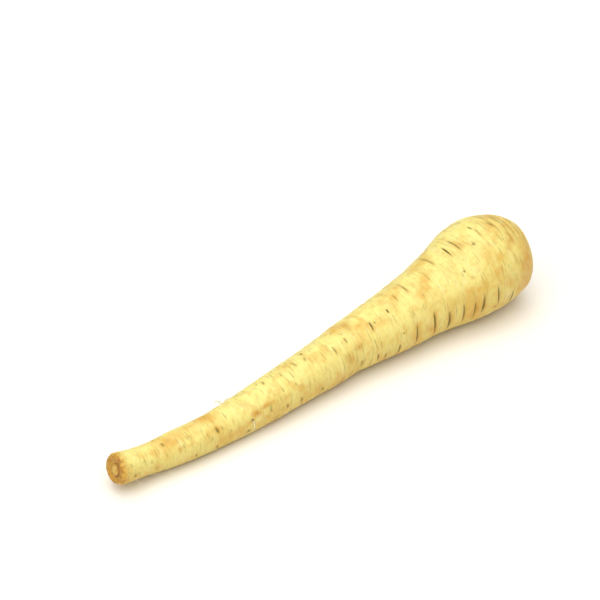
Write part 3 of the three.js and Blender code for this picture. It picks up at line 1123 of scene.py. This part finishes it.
@dataclass(frozen=True)
class StalkFinish:
    """The leaf stalk's stub: light green with paler ribs, and a moist cut end round a green hollow."""

    green: Colour = linear("b3d93f")
    rib: Colour = linear("e0f07a")
    foot: Colour = linear("6f6a2a")
    foot_rib: Colour = linear("93913c")
    flesh: Colour = linear("dbe983")
    pale_flesh: Colour = linear("eef3ae")
    hollow: Colour = linear("8fb82a")
    rib_lines: tuple[float, float, float] = (90.0, 1500.0, 1500.0)
    rib_rise: Rise = Rise(0.4, 0.65)
    foot_rise: Rise = Rise(0.35, 0.6)
    flesh_rise: Rise = Rise(0.4, 0.7)
    roughness: float = 0.38
    rib_shine: Rise = Rise(0.4, 0.7, 0.1)
    bump_strength: float = 0.4
    bump_distance: float = 0.0003

    def material(self, effects: SharedEffects) -> bpy.types.Material:
        """Builds the material.

        Args:
            effects: The shared node groups.

        Returns:
            The material.
        """
        board, material = NodeBoard.of_material("leaf_stalk_green")
        ribs = effects.grain(board, board.place(), self.rib_lines)
        foot = board.blend(board.step(ribs, self.foot_rise), self.foot, self.foot_rib)
        flesh = board.blend(board.step(ribs, self.flesh_rise), self.flesh, self.pale_flesh)
        layers = (
            (board.step(ribs, self.rib_rise), self.rib),
            (board.attribute("foot"), foot),
            (board.attribute("cut_lip"), flesh),
            (board.attribute("hollow"), self.hollow),
        )
        board.finish(
            {
                "Base Color": board.layered(self.green, layers),
                "Roughness": board.number("SUBTRACT", self.roughness, board.step(ribs, self.rib_shine)),
                "Normal": board.bump(ribs, self.bump_strength, self.bump_distance),
                "Subsurface Weight": 0.15,
                "Subsurface Radius": (0.6, 1.0, 0.3),
                "Subsurface Scale": 0.002,
            }
        )
        return material


@dataclass(frozen=True)
class DryFibreFinish:
    """Dry plant matter, such as rootlets and crown litter, mottled between two colours."""

    name: str
    light: Colour
    dark: Colour
    roughness: float = 0.75
    mottle: SoftPatches = SoftPatches(700.0, 0.4, 0.6)
    grain_lines: tuple[float, float, float] = (1900.0, 1900.0, 1900.0)
    grain_dark: Rise = Rise(0.5, 0.8, 0.4)
    grain_rough: Rise = Rise(0.3, 0.7, 0.15)
    bump_strength: float = 0.5
    bump_distance: float = 0.0002

    def material(self, effects: SharedEffects) -> bpy.types.Material:
        """Builds the material.

        Args:
            effects: The shared node groups.

        Returns:
            The material.
        """
        board, material = NodeBoard.of_material(self.name)
        where = board.place()
        grain = effects.grain(board, where, self.grain_lines)
        layers = (
            (effects.patches(board, where, self.mottle), self.light),
            (board.step(grain, self.grain_dark), self.dark),
        )
        board.finish(
            {
                "Base Color": board.layered(self.dark, layers),
                "Roughness": board.number("ADD", board.step(grain, self.grain_rough), self.roughness),
                "Normal": board.bump(grain, self.bump_strength, self.bump_distance),
            }
        )
        return material


@dataclass(frozen=True)
class TableFinish:
    """The plain pale table top."""

    white: Colour = linear("fdfbf6")
    warm: Colour = linear("fbf8f1")
    mottle: SoftPatches = SoftPatches(3.0, 0.3, 0.7)
    roughness: float = 0.9
    gloss: float = 0.1

    def material(self, effects: SharedEffects) -> bpy.types.Material:
        """Builds the material.

        Args:
            effects: The shared node groups.

        Returns:
            The material.
        """
        board, material = NodeBoard.of_material("pale_table")
        warmed = effects.patches(board, board.place(), self.mottle)
        board.finish(
            {
                "Base Color": board.blend(warmed, self.white, self.warm),
                "Roughness": self.roughness,
                "Specular IOR Level": self.gloss,
            }
        )
        return material


@dataclass(frozen=True)
class Taproot:
    """The grown root in one piece, from its cut tail to the cushion in its crown."""

    form: RootForm
    skin: SkinMarks
    slit_look: SlitLook = SlitLook()
    mark_look: MarkLook = MarkLook()
    sides: int = 150
    body_rings: int = 500
    measured_rings: int = 4000
    ring_crowding: float = 1.6
    crowding_width: float = 0.8
    crowding_width_share: float = 0.06  # extra for each millimetre of a slit's length
    tail_step: float = 0.36
    crown_step: float = 0.4
    tail_face: tuple[tuple[float, float], ...] = (
        (2.4, 0), (2.1, 1.6), (2.4, 2.6), (3.3, 3.3), (2.9, 4.3), (1.8, 5.6), (2.2, 6.7),
    )
    # x from the rim and radius, from the rim to the middle
    crown: tuple[tuple[float, float], ...] = (
        (0.0, 12.2), (-0.8, 11.5), (-4.0, 10.9), (-7.2, 10.4), (-8.4, 9.7), (-7.0, 9.0), (-4.6, 8.6),
        (-3.0, 7.6), (-2.1, 6.3), (-1.7, 5.2), (-2.4, 4.6), (-5.4, 4.5), (-5.4, 0),
    )
    shoulder_rings: int = 62
    leaf_scars: int = 7
    golden_angle: float = 137.5
    first_scar_radius: float = 5.9
    last_scar_radius: float = 8.0
    scar_length: float = 2.6
    scar_thickness: float = 0.7
    scar_height: float = 0.88

    # the broad swellings, the rings and the fine wrinkles of the skin, and the grain of both ends
    skin_relief: tuple[Unevenness, ...] = (
        Unevenness(0.085, 0.075, 3.1, 0.12, 0.013),
        Unevenness(0.55, 0.055, 8.4, 0.05, 0.008),
        Unevenness(1.3, 0.14, 21.7, 0.09),
    )
    rough_grain: Unevenness = Unevenness(0.8, 0.8, 40.2)
    fine_grain: Unevenness = Unevenness(2.1, 2.1, 55.9)
    crown_grain: EndGrain = EndGrain(0.38, 0.22, 2.0)
    tail_grain: EndGrain = EndGrain(0.3, 0.16, 1.5)
    edge_height: float = 0.25
    edge_radii: tuple[float, float] = (5.6, 7.4)
    edge_end: tuple[float, float] = (2.5, 5.5)
    dried_end: tuple[float, float] = (2.2, 8.0)
    dried_raggedness: float = 2.4
    browned_rim: tuple[float, float] = (12.3, 13.4)
    rim_raggedness: float = 0.5
    # painted shade: a little tan that darkens the lower side, laid with the golden stain
    painted_underside_shade: float = 0.1

    def outline(self) -> Outline:
        """Gives the points that are spun: the tail face, the long body, the shoulder and the crown."""
        form = self.form
        roll = (form.tail_roll, form.at(Column.RADIUS, form.tail_roll))
        tail = rounded_chain([*self.tail_face, roll], self.tail_step)
        xs = self.ring_places()
        body = list(zip(xs.tolist(), form.along(Column.RADIUS, xs).tolist()))
        turns = np.linspace(0, math.pi / 2, self.shoulder_rings)[1:]
        across, down = form.rim_x - form.shoulder_x, form.widest - form.rim_radius
        shoulder = [
            (form.shoulder_x + across * math.sin(t), form.rim_radius + down * math.cos(t)) for t in turns
        ]
        corners = [shoulder[-1], *[(form.rim_x + x, radius) for x, radius in self.crown]]
        return tail[:-1] + body + shoulder + rounded_chain(corners, self.crown_step)[1:]

    def ring_places(self) -> np.ndarray:
        """Spaces the rings of the long body, closer together where a slit runs."""
        fine = np.linspace(self.form.tail_roll, self.form.shoulder_x, self.measured_rings)
        crowding = np.ones_like(fine)
        for x, _, length in self.skin.near_slits:
            width = self.crowding_width + self.crowding_width_share * length
            crowding += self.ring_crowding * bell(fine - x, width)
        reach = np.concatenate([[0], np.cumsum((crowding[1:] + crowding[:-1]) / 2)])
        return np.interp(np.linspace(0, reach[-1], self.body_rings), reach, fine)

    def build(self, finish: SkinFinish, effects: SharedEffects) -> bpy.types.Object:
        """Makes the piece.

        Args:
            finish: The skin's finish.
            effects: The shared node groups.

        Returns:
            The finished piece.
        """
        mesh = spun_mesh("parsnip_root", self.outline(), self.sides)
        set_points(mesh, self._shaped(mesh, Places.of_mesh(mesh)))
        piece = smooth_piece("parsnip_root", mesh, finish.material(effects))
        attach(piece, "root")
        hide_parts("taproot")
        return piece

    def _shaped(self, mesh: bpy.types.Mesh, places: Places) -> np.ndarray:
        """Moves each point of the spun outline to its place on the skin, and keeps what the finish reads.

        Args:
            mesh: The mesh that keeps the attributes.
            places: Where its points are on the outline.

        Returns:
            The places, in metres.
        """
        form = self.form
        rough = self.rough_grain.at(places)
        depth, shade, halo = self._slit_fields(places)
        olive, gold = self._mark_fields(places)

        tail = 1 - smooth_share(places.x + self.dried_raggedness * rough, *self.dried_end)
        rim = 1 - smooth_share(places.radius - self.rim_raggedness * rough, *self.browned_rim)
        crown_ring = np.where(form.in_crown(places), 1 - places.radius / form.rim_radius, 0.0)
        # the golden marks and patches, the golden halo beside the slits, and painted shade on the lower side
        stain = gold + halo + self.painted_underside_shade * places.underneath()
        kept = {
            "slit_shade": np.clip(np.maximum(shade, olive), 0, 1) * (1 - tail),
            "golden_stain_and_underside_shade": np.clip(stain, 0, 1),
            # painted shade mask: 0 at the top of the root and 1 on its lower side
            "underside": places.underneath(),
            "tail": tail,
            "tail_ring": np.clip(places.radius / form.at(Column.RADIUS, 0), 0, 1),
            "crown": rim * (places.x > form.shoulder_x),
            "crown_ring": crown_ring,
        }
        for name, values in kept.items():
            set_attribute(mesh, name, values)
        skin_place = places.points()
        skin_place[:, 0] = form.skin_length(places.x, places.radius)
        layer = mesh.attributes.new("skin_place", "FLOAT_VECTOR", "POINT")
        layer.data.foreach_set("vector", (skin_place * MM).astype(np.float32).ravel())

        out = form.lobed(places.x, places.radius, places.angle) + self._relief(places, depth, rough)
        return form.place(places.x + self._lift(places, rough), out, places.angle)

    def _relief(self, places: Places, depth: np.ndarray, rough: np.ndarray) -> np.ndarray:
        """Works out the swellings, creases and slits of the skin and the ragged edge of the tail.

        Args:
            places: Where each point is.
            depth: How deep the slits cut it.
            rough: The rough grain there.

        Returns:
            How far each point stands out from the plain outline.
        """
        form = self.form
        skin = ~(form.in_crown(places) | form.on_tail(places))
        relief = (sum(layer.at(places) for layer in self.skin_relief) - depth) * skin
        share = form.crease_between_rows
        share = share + (1 - share) * form.near_row(places.x, places.angle)
        worn = 1 - form.crease_worn_off * places.underneath() ** form.crease_worn_power
        edge = smooth_share(places.radius, *self.edge_radii) * (1 - smooth_share(places.x, *self.edge_end))
        return relief - form.creases(places.x, places.radius) * share * worn + edge * self.edge_height * rough

    def _lift(self, places: Places, rough: np.ndarray) -> np.ndarray:
        """Works out the wave of the rim, the scars, and the grain of the tail face and the crown.

        Args:
            places: Where each point is.
            rough: The rough grain there.

        Returns:
            How far each point moves along the root.
        """
        form = self.form
        near_rim = smooth_share(places.x, form.shoulder_x, form.rim_x)
        near_rim = near_rim * smooth_share(places.radius, form.groove_radius, form.rim_radius)
        wave = sum(share * np.cos(count * places.angle + start) for share, count, start in form.rim_waves)
        lift = form.rim_wave * near_rim * wave
        fine = self.fine_grain.at(places)
        ends = ((form.in_crown(places), self.crown_grain), (form.on_tail(places), self.tail_grain))
        for there, grain in ends:
            shown = smooth_share(places.radius, 0, grain.full_from) * there
            lift = lift + (grain.rough * rough + grain.fine * fine) * shown
        return lift + self._scars(places) * form.in_crown(places)

    def _scars(self, places: Places) -> np.ndarray:
        """Gives how far the crescent scars of old leaf bases stand up from the cushion at each point."""
        height = np.zeros_like(places.x)
        for i in range(self.leaf_scars):
            share = i / (self.leaf_scars - 1)
            middle = self.first_scar_radius + share * (self.last_scar_radius - self.first_scar_radius)
            arc = angle_from(math.radians(self.golden_angle * i), places.angle) * places.radius
            away = ((places.radius - middle) / self.scar_thickness) ** 2 + (arc / self.scar_length) ** 2
            height = np.maximum(height, self.scar_height * np.sqrt(np.clip(1 - away, 0, 1)))
        return height

    def _slit_fields(self, places: Places) -> tuple[np.ndarray, np.ndarray, np.ndarray]:
        """Works out the slits.

        Args:
            places: Where each point is.

        Returns:
            How deep each point is cut, how dark it is, and how golden the skin is beside the slit.
        """
        look = self.slit_look
        depth, shade, halo = [np.zeros_like(places.x) for _ in range(3)]
        for i, slit in enumerate(self.skin.slits(self.form)):
            half_width = look.of(slit, look.half_width)
            near = np.abs(places.x - slit.x) < look.reach
            arc = angle_from(math.radians(slit.angle), places.angle[near]) * places.radius[near]
            across = arc / (look.half_length * slit.length)
            bow = look.bow * sway(i, Series.SLIT_BOW) * (across**2 - 0.5)
            bow = bow + look.slant * sway(i, Series.SLIT_SLANT) * across
            away = places.x[near] - slit.x - bow * min(1.0, slit.length / look.full_bow_length)
            ends = np.clip(1 - across**2, 0, 1) ** look.end_power
            lip = bell(np.abs(away) - look.lip_place * half_width, look.lip * half_width)
            cut = look.cut_depth * look.of(slit, look.depth) * bell(away, look.cut * half_width)
            depth[near] += ends * (cut - look.lip_height * lip)

            darkest = bell(across - look.darkest_place * sway(i, Series.SLIT_DARKEST), look.darkest)
            strong = look.of(slit, look.darkness) + look.stain_spread * jitter(i, Series.SLIT_DARKNESS)
            strong = strong * (1 - look.darkest_share + look.darkest_share * darkest)
            stained = ends * bell(away, look.stain * half_width) * strong
            shade[near] = np.maximum(shade[near], stained)

            glow = np.exp(-((across / look.halo_length) ** look.halo_power))
            glow = glow * bell(away, look.halo + look.halo_share * slit.length)
            strong = look.halo_gold + look.halo_gold_spread * jitter(i, Series.SLIT_HALO)
            halo[near] = np.maximum(halo[near], glow * strong)
        return depth, shade, halo

    def _mark_fields(self, places: Places) -> tuple[np.ndarray, np.ndarray]:
        """Works out the small marks and the golden patches.

        Args:
            places: Where each point is.

        Returns:
            How olive and how golden each point is.
        """
        look = self.mark_look
        olive, gold = np.zeros_like(places.x), np.zeros_like(places.x)
        shown = places.radius > look.least_radius
        for i, mark in enumerate(self.skin.marks):
            half = math.radians(mark.end - mark.start) / 2
            across = angle_from(math.radians(mark.start) + half, places.angle) / half
            away = places.x - mark.x - look.slant * sway(i, Series.MARK_SLANT) * across
            strength = np.exp(-(across**look.end_power)) * bell(away, look.width * mark.half_width) * shown
            olive_share, gold_share = mark.tone.value
            olive = np.maximum(olive, strength * olive_share)
            gold = np.maximum(gold, strength * gold_share * look.gold)
        points = np.stack([places.x, places.radius * np.sin(places.angle), places.angle], axis=1)
        ragged = 1 + look.patch_raggedness * soft_noise(points * look.patch_waves, look.patch_shift)
        for patch in self.skin.patches:
            along = (places.x - patch.x) / (look.patch_along * patch.half_along)
            turned = np.degrees(angle_from(math.radians(patch.angle), places.angle))
            around = turned / (look.patch_round * patch.half_round)
            strength = patch.strength * np.exp(-(along**2 + around**2) * ragged)
            gold = np.maximum(gold, strength * shown)
        return olive, gold


@dataclass(frozen=True)
class LeafStalkStub:
    """The stub of the leaf stalk: ribbed, leaning, with a hollow cut end and a young stalk inside it."""

    form: RootForm
    sides: int = 96
    outside: tuple[tuple[float, float], ...] = (
        (-5.1, 0), (-5.1, 4.1), (-2.6, 4.2), (-1.1, 4.1), (0.6, 3.5), (2.8, 3.15), (4.4, 3.15), (5.2, 2.9),
    )
    inside: tuple[tuple[float, float], ...] = (
        (4.9, 2.2), (3.4, 1.8), (1.9, 1.5), (1.8, 0.95), (3.2, 0.85), (3.7, 0.5), (3.9, 0),
    )
    step: float = 0.16
    tip: float = 5.2
    bend: float = -1.5
    lean_side: float = -1.5
    lean_height: float = -1.1
    lean_power: float = 1.5
    channel: float = 0.28
    channel_power: int = 3
    hollow_shift: float = 0.45
    hollow_radius: float = 2.6
    ribs: int = 11
    rib_height: float = 0.07
    ribbed_from: float = 3.1
    # the ragged lip: its waves in a millimetre along each axis, its pattern, its height and where it starts
    lip_waves: tuple[float, float, float] = (0.9, -0.9, 0.9)
    lip_shift: float = 71.3
    lip_height: float = 0.12
    lip_start: tuple[float, float] = (4, 5)
    foot_end: tuple[float, float] = (-2.5, 0.8)
    flesh_start: tuple[float, float] = (4.5, 4.9)
    green_end: tuple[float, float] = (3.4, 4.8)

    def build(self, finish: StalkFinish, effects: SharedEffects) -> bpy.types.Object:
        """Makes the piece.

        Args:
            finish: The stalk's finish.
            effects: The shared node groups.

        Returns:
            The finished piece.
        """
        chain = rounded_chain([*self.outside, *self.inside], self.step)
        mesh = spun_mesh("leaf_stalk", chain, self.sides)
        places = Places.of_mesh(mesh)
        x = places.x
        in_hollow = (places.radius < self.hollow_radius) & (x > 0)
        set_points(mesh, self._bent(places, in_hollow))
        set_attribute(mesh, "foot", 1 - smooth_share(x, *self.foot_end))
        set_attribute(mesh, "cut_lip", smooth_share(x, *self.flesh_start))
        set_attribute(mesh, "hollow", np.where(in_hollow, 1 - smooth_share(x, *self.green_end), 0.0))
        piece = smooth_piece("leaf_stalk", mesh, finish.material(effects))
        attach(piece, "root")
        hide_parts("leaf_stalk_stub")
        return piece

    def _bent(self, places: Places, in_hollow: np.ndarray) -> np.ndarray:
        """Gives the stalk its ribs, its channel, its ragged lip and its lean.

        Args:
            places: Where its points are on the outline.
            in_hollow: Which of them are inside the hollow.

        Returns:
            The places, in metres.
        """
        form, x, angle = self.form, places.x, places.angle
        bent = np.clip((x - self.bend) / (self.tip - self.bend), 0, 1)
        lean = bent**self.lean_power
        ribbed = smooth_share(places.radius, self.hollow_radius, self.ribbed_from) * ~in_hollow
        channel = bent * np.maximum(0, np.cos(angle)) ** self.channel_power * ~in_hollow
        out = places.radius + self.rib_height * np.cos(self.ribs * angle) * ribbed - self.channel * channel
        ragged = soft_noise(places.points() * self.lip_waves, self.lip_shift) * self.lip_height
        here = form.rim_x + x
        side = form.along(Column.SIDE, here) + self.lean_side * lean - form.middle[1]
        height = form.along(Column.HEIGHT, here) + self.lean_height * lean + self.hollow_shift * in_hollow
        points = [
            here + ragged * smooth_share(x, *self.lip_start) - form.middle[0],
            side - out * np.sin(angle),
            height + out * np.cos(angle),
        ]
        return np.stack(points, axis=1) * MM


@dataclass(frozen=True)
class Hair:
    """One thin fibre: where it starts on the skin, its length and thickness, and how it bends."""

    x: float
    angle: float
    length: float
    radius: float
    curl: float
    lean: float
    droop: float = 0.0


@dataclass(frozen=True)
class Rootlets:
    """Thin pale rootlets that are left on the skin."""

    form: RootForm
    sides: int = 5
    cuts: int = 9
    # x, angle, length, thickness, curl, lean and droop of the few that show from a step away
    read: tuple[Hair, ...] = (
        Hair(68.4, -40, 4.8, 0.6, 2.6, 0.4),
        Hair(71.0, -40, 4.6, 0.5, -3.4, 0.2),
        Hair(76, 75, 6.5, 0.24, 0.8, -0.2, 0.4),
        Hair(10, 128, 5.0, 0.14, 1.4, 1.1, 0.3),
        Hair(17, 122, 6.5, 0.13, -1.2, 1.3, 0.3),
        Hair(26, 118, 5.5, 0.12, 1.8, 1.2, 0.3),
        Hair(38, 115, 3.0, 0.12, -1.6, 0.9, 0.2),
    )
    short_hairs: int = 34
    short_reach: tuple[float, float] = (12, 215)
    short_lengths: tuple[float, float] = (0.8, 2.4)
    short_radius: float = 0.09
    short_spread: float = 9  # degrees to either side of a row of slits
    short_curl: float = 2
    short_lean: float = 0.9
    tip_share: float = 0.3
    rooted: float = 0.3  # millimetres that a hair starts under the skin
    table_clearance: float = 0.1
    straight: float = 1e-4

    def build(self, finish: DryFibreFinish, effects: SharedEffects) -> bpy.types.Object:
        """Makes the piece.

        Args:
            finish: The rootlets' finish.
            effects: The shared node groups.

        Returns:
            The finished piece.
        """
        rng = np.random.default_rng(RANDOM_SEED)
        hairs = list(self.read)
        for _ in range(self.short_hairs):
            row = int(rng.integers(len(self.form.rows)))
            x = float(rng.uniform(*self.short_reach))
            angle = math.degrees(float(self.form.row_angle(row, np.array(x))))
            angle = angle + rng.normal(0, self.short_spread)
            length = rng.uniform(*self.short_lengths)
            curl, lean = rng.normal(0, self.short_curl), rng.normal(0, self.short_lean)
            hairs.append(Hair(x, angle, length, self.short_radius, curl, lean))
        bm = bmesh.new()
        for hair in hairs:
            single = self._grown(hair)
            bm.from_mesh(single)
            bpy.data.meshes.remove(single)
        piece = smooth_piece("rootlets", mesh_of(bm, "rootlets"), finish.material(effects))
        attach(piece, "root")
        return piece

    def _grown(self, hair: Hair) -> bpy.types.Mesh:
        """Makes one hair: a thin cone that is cut into short lengths and bent along an arc.

        Args:
            hair: Its measures.

        Returns:
            Its mesh, in place on the skin.
        """
        bm = bmesh.new()
        bmesh.ops.create_cone(
            bm,
            cap_ends=True,
            cap_tris=False,
            segments=self.sides,
            radius1=hair.radius,
            radius2=hair.radius * self.tip_share,
            depth=hair.length,
        )
        long_edges = [edge for edge in bm.edges if abs(edge.verts[0].co.z - edge.verts[1].co.z) > TINY]
        bmesh.ops.subdivide_edges(bm, edges=long_edges, cuts=self.cuts, use_grid_fill=True)
        here, angle = np.array([hair.x]), math.radians(hair.angle)
        turned = np.array([angle])
        surface = self.form.lobed(here, self.form.along(Column.RADIUS, here), turned)
        start = Vector(self.form.place(here, surface - self.rooted, turned)[0])
        outward = Vector((0, -math.sin(angle), math.cos(angle)))
        forward = Vector((1, 0, 0))
        heading = (outward + forward * hair.lean).normalized()
        side = heading.cross(outward.cross(forward)).normalized()
        third = heading.cross(side)
        curve = hair.curl / hair.length
        bends = abs(curve) > self.straight
        for vert in bm.verts:
            along = vert.co.z + hair.length / 2
            turn = curve * along
            reach = math.sin(turn) / curve if bends else along
            shift = (1 - math.cos(turn)) / curve if bends else 0.0
            point = heading * reach + side * shift + third * vert.co.y + side * vert.co.x * math.cos(turn)
            point = point - heading * vert.co.x * math.sin(turn)
            point.z -= hair.droop * along * along / hair.length
            vert.co = start + point * MM
            vert.co.z = max(vert.co.z, self.table_clearance * MM)
        bmesh.ops.recalc_face_normals(bm, faces=bm.faces[:])
        return mesh_of(bm, "one_hair")


@dataclass(frozen=True)
class CrownLitter:
    """The crumbs and dry scales that lie on the cushion round the leaf stalk."""

    form: RootForm
    crown: tuple[tuple[float, float], ...]
    crumbs: int = 300
    smallest: float = 0.16
    largest: float = 0.5
    cushion: tuple[float, float] = (4.6, 9.2)
    strewn: tuple[float, float] = (4.8, 9.0)
    flatness: float = 0.5
    stretch: tuple[float, float] = (0.8, 1.9)
    lift: float = 0.15

    def build(self, finish: DryFibreFinish, effects: SharedEffects) -> bpy.types.Object:
        """Makes the piece.

        Args:
            finish: The crumbs' finish.
            effects: The shared node groups.

        Returns:
            The finished piece.
        """
        rng = np.random.default_rng(RANDOM_SEED + 1)
        low, high = self.cushion
        radii, heights = zip(*sorted((radius, x) for x, radius in self.crown if low < radius < high))
        bm = bmesh.new()
        for _ in range(self.crumbs):
            radius = float(rng.uniform(*self.strewn))
            angle = float(rng.uniform(-math.pi, math.pi))
            x = self.form.rim_x + float(np.interp(radius, radii, heights))
            size = float(rng.uniform(self.smallest, self.largest))
            verts = bmesh.ops.create_icosphere(bm, subdivisions=1, radius=size)["verts"]
            middle = Vector(self.form.place(np.array([x]), np.array([radius]), np.array([angle]))[0])
            turn = float(rng.uniform(0, math.pi))
            turned = Matrix.Rotation(turn, 3, Vector(rng.normal(size=3)).normalized())
            stretch = float(rng.uniform(*self.stretch))
            bmesh.ops.scale(bm, verts=verts, vec=(self.flatness * MM, MM, stretch * MM))
            bmesh.ops.rotate(bm, verts=verts, cent=(0, 0, 0), matrix=turned)
            bmesh.ops.translate(bm, verts=verts, vec=middle + Vector((self.lift * MM, 0, 0)))
        piece = smooth_piece("crown_crumbs", mesh_of(bm, "crown_crumbs"), finish.material(effects))
        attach(piece, "root")
        return piece


@dataclass(frozen=True)
class Lamp:
    """A broad far light: where it hangs and how wide it looks in degrees, and its watts a square metre."""

    name: str
    azimuth: float
    elevation: float
    spread: float
    power: float
    colour: Colour


@dataclass(frozen=True)
class Studio:
    """The pale table, the soft light and the camera."""

    table_size: float = 8.0
    table_gap: float = 0.00005
    target: tuple[float, float, float] = (0.03259, 0.06343, 0.0)
    azimuth: float = -40.07
    elevation: float = 36.0
    distance: float = 1.0
    lens: float = 109.29
    sensor: float = 36.0
    white: Colour = linear("ffffff")
    fill: float = 0.13
    backdrop: float = 1.0
    lamps: tuple[Lamp, ...] = (
        Lamp("key_light", -50, 71, 84, 3.05, linear("fffdfa")),
        Lamp("back_light", 145, 60, 60, 0.6, linear("fffcf8")),
    )

    def lay_table(self, finish: TableFinish, effects: SharedEffects) -> bpy.types.Object:
        """Makes the table top that the root rests on.

        Args:
            finish: The table's finish.
            effects: The shared node groups.

        Returns:
            The table top.
        """
        bm = bmesh.new()
        bmesh.ops.create_grid(bm, x_segments=1, y_segments=1, size=self.table_size / 2)
        bmesh.ops.translate(bm, verts=bm.verts[:], vec=(0, 0, -self.table_gap))
        table = smooth_piece("table_top", mesh_of(bm, "table_top"), finish.material(effects))
        return table

    def _aim(self, name: str, data: bpy.types.ID, azimuth: float, elevation: float) -> bpy.types.Object:
        """Puts a light or the camera at the camera's distance from the target and turns it towards it.

        Args:
            name: Its name.
            data: The light or the camera.
            azimuth: Its direction round the object, in degrees.
            elevation: Its height above the table, in degrees.

        Returns:
            The new object.
        """
        a, e = math.radians(azimuth), math.radians(elevation)
        direction = Vector((math.sin(a) * math.cos(e), -math.cos(a) * math.cos(e), math.sin(e)))
        thing = bpy.data.objects.new(name, data)
        thing.location = Vector(self.target) + direction * self.distance
        thing.rotation_mode = "QUATERNION"
        thing.rotation_quaternion = direction.to_track_quat("Z", "Y")
        bpy.context.scene.collection.objects.link(thing)
        return thing

    def light_up(self) -> None:
        """Sets the light: a pale surround, a soft lamp high on the near left and a weak one behind."""
        world = bpy.data.worlds.new("pale_surround")
        world.use_nodes = True
        world.node_tree.nodes.clear()
        board = NodeBoard(world.node_tree)
        seen = board.add("ShaderNodeLightPath").outputs["Is Camera Ray"]
        inputs = {"Value": seen, "To Min": self.fill, "To Max": self.backdrop}
        strength = board.add("ShaderNodeMapRange", inputs).outputs["Result"]
        surround = board.add("ShaderNodeBackground", {"Color": self.white, "Strength": strength})
        board.add("ShaderNodeOutputWorld", {"Surface": surround.outputs["Background"]})
        bpy.context.scene.world = world
        for lamp in self.lamps:
            data = bpy.data.lights.new(lamp.name, "SUN")
            data.angle = math.radians(lamp.spread)
            data.energy = lamp.power
            data.color = lamp.colour[:3]
            self._aim(lamp.name, data, lamp.azimuth, lamp.elevation)
        bpy.context.scene.view_settings.view_transform = "Standard"

    def set_camera(self) -> None:
        """Puts the camera where the photograph was taken from."""
        data = bpy.data.cameras.new("camera")
        data.lens = self.lens
        data.sensor_width = self.sensor
        bpy.context.scene.camera = self._aim("camera", data, self.azimuth, self.elevation)


def main() -> None:
    """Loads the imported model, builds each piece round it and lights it."""
    logging.basicConfig(level=logging.INFO, format="%(message)s")
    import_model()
    effects = SharedEffects()
    form = RootForm()
    studio = Studio()
    studio.set_camera()
    studio.light_up()
    studio.lay_table(TableFinish(), effects)

    root = Taproot(form, SkinMarks())
    pale_fibre = DryFibreFinish("pale_rootlet", linear("fbf6e2"), linear("e2d6b0"))
    litter = DryFibreFinish("crown_litter", linear("dfb978"), linear("7a5a30"), 0.85)
    made = [
        root.build(SkinFinish(), effects),
        LeafStalkStub(form).build(StalkFinish(), effects),
        Rootlets(form).build(pale_fibre, effects),
        CrownLitter(form, root.crown).build(litter, effects),
    ]
    for piece in made:
        LOG.info("%s: %d faces", piece.name, len(piece.data.polygons))


if __name__ == "__main__":
    main()
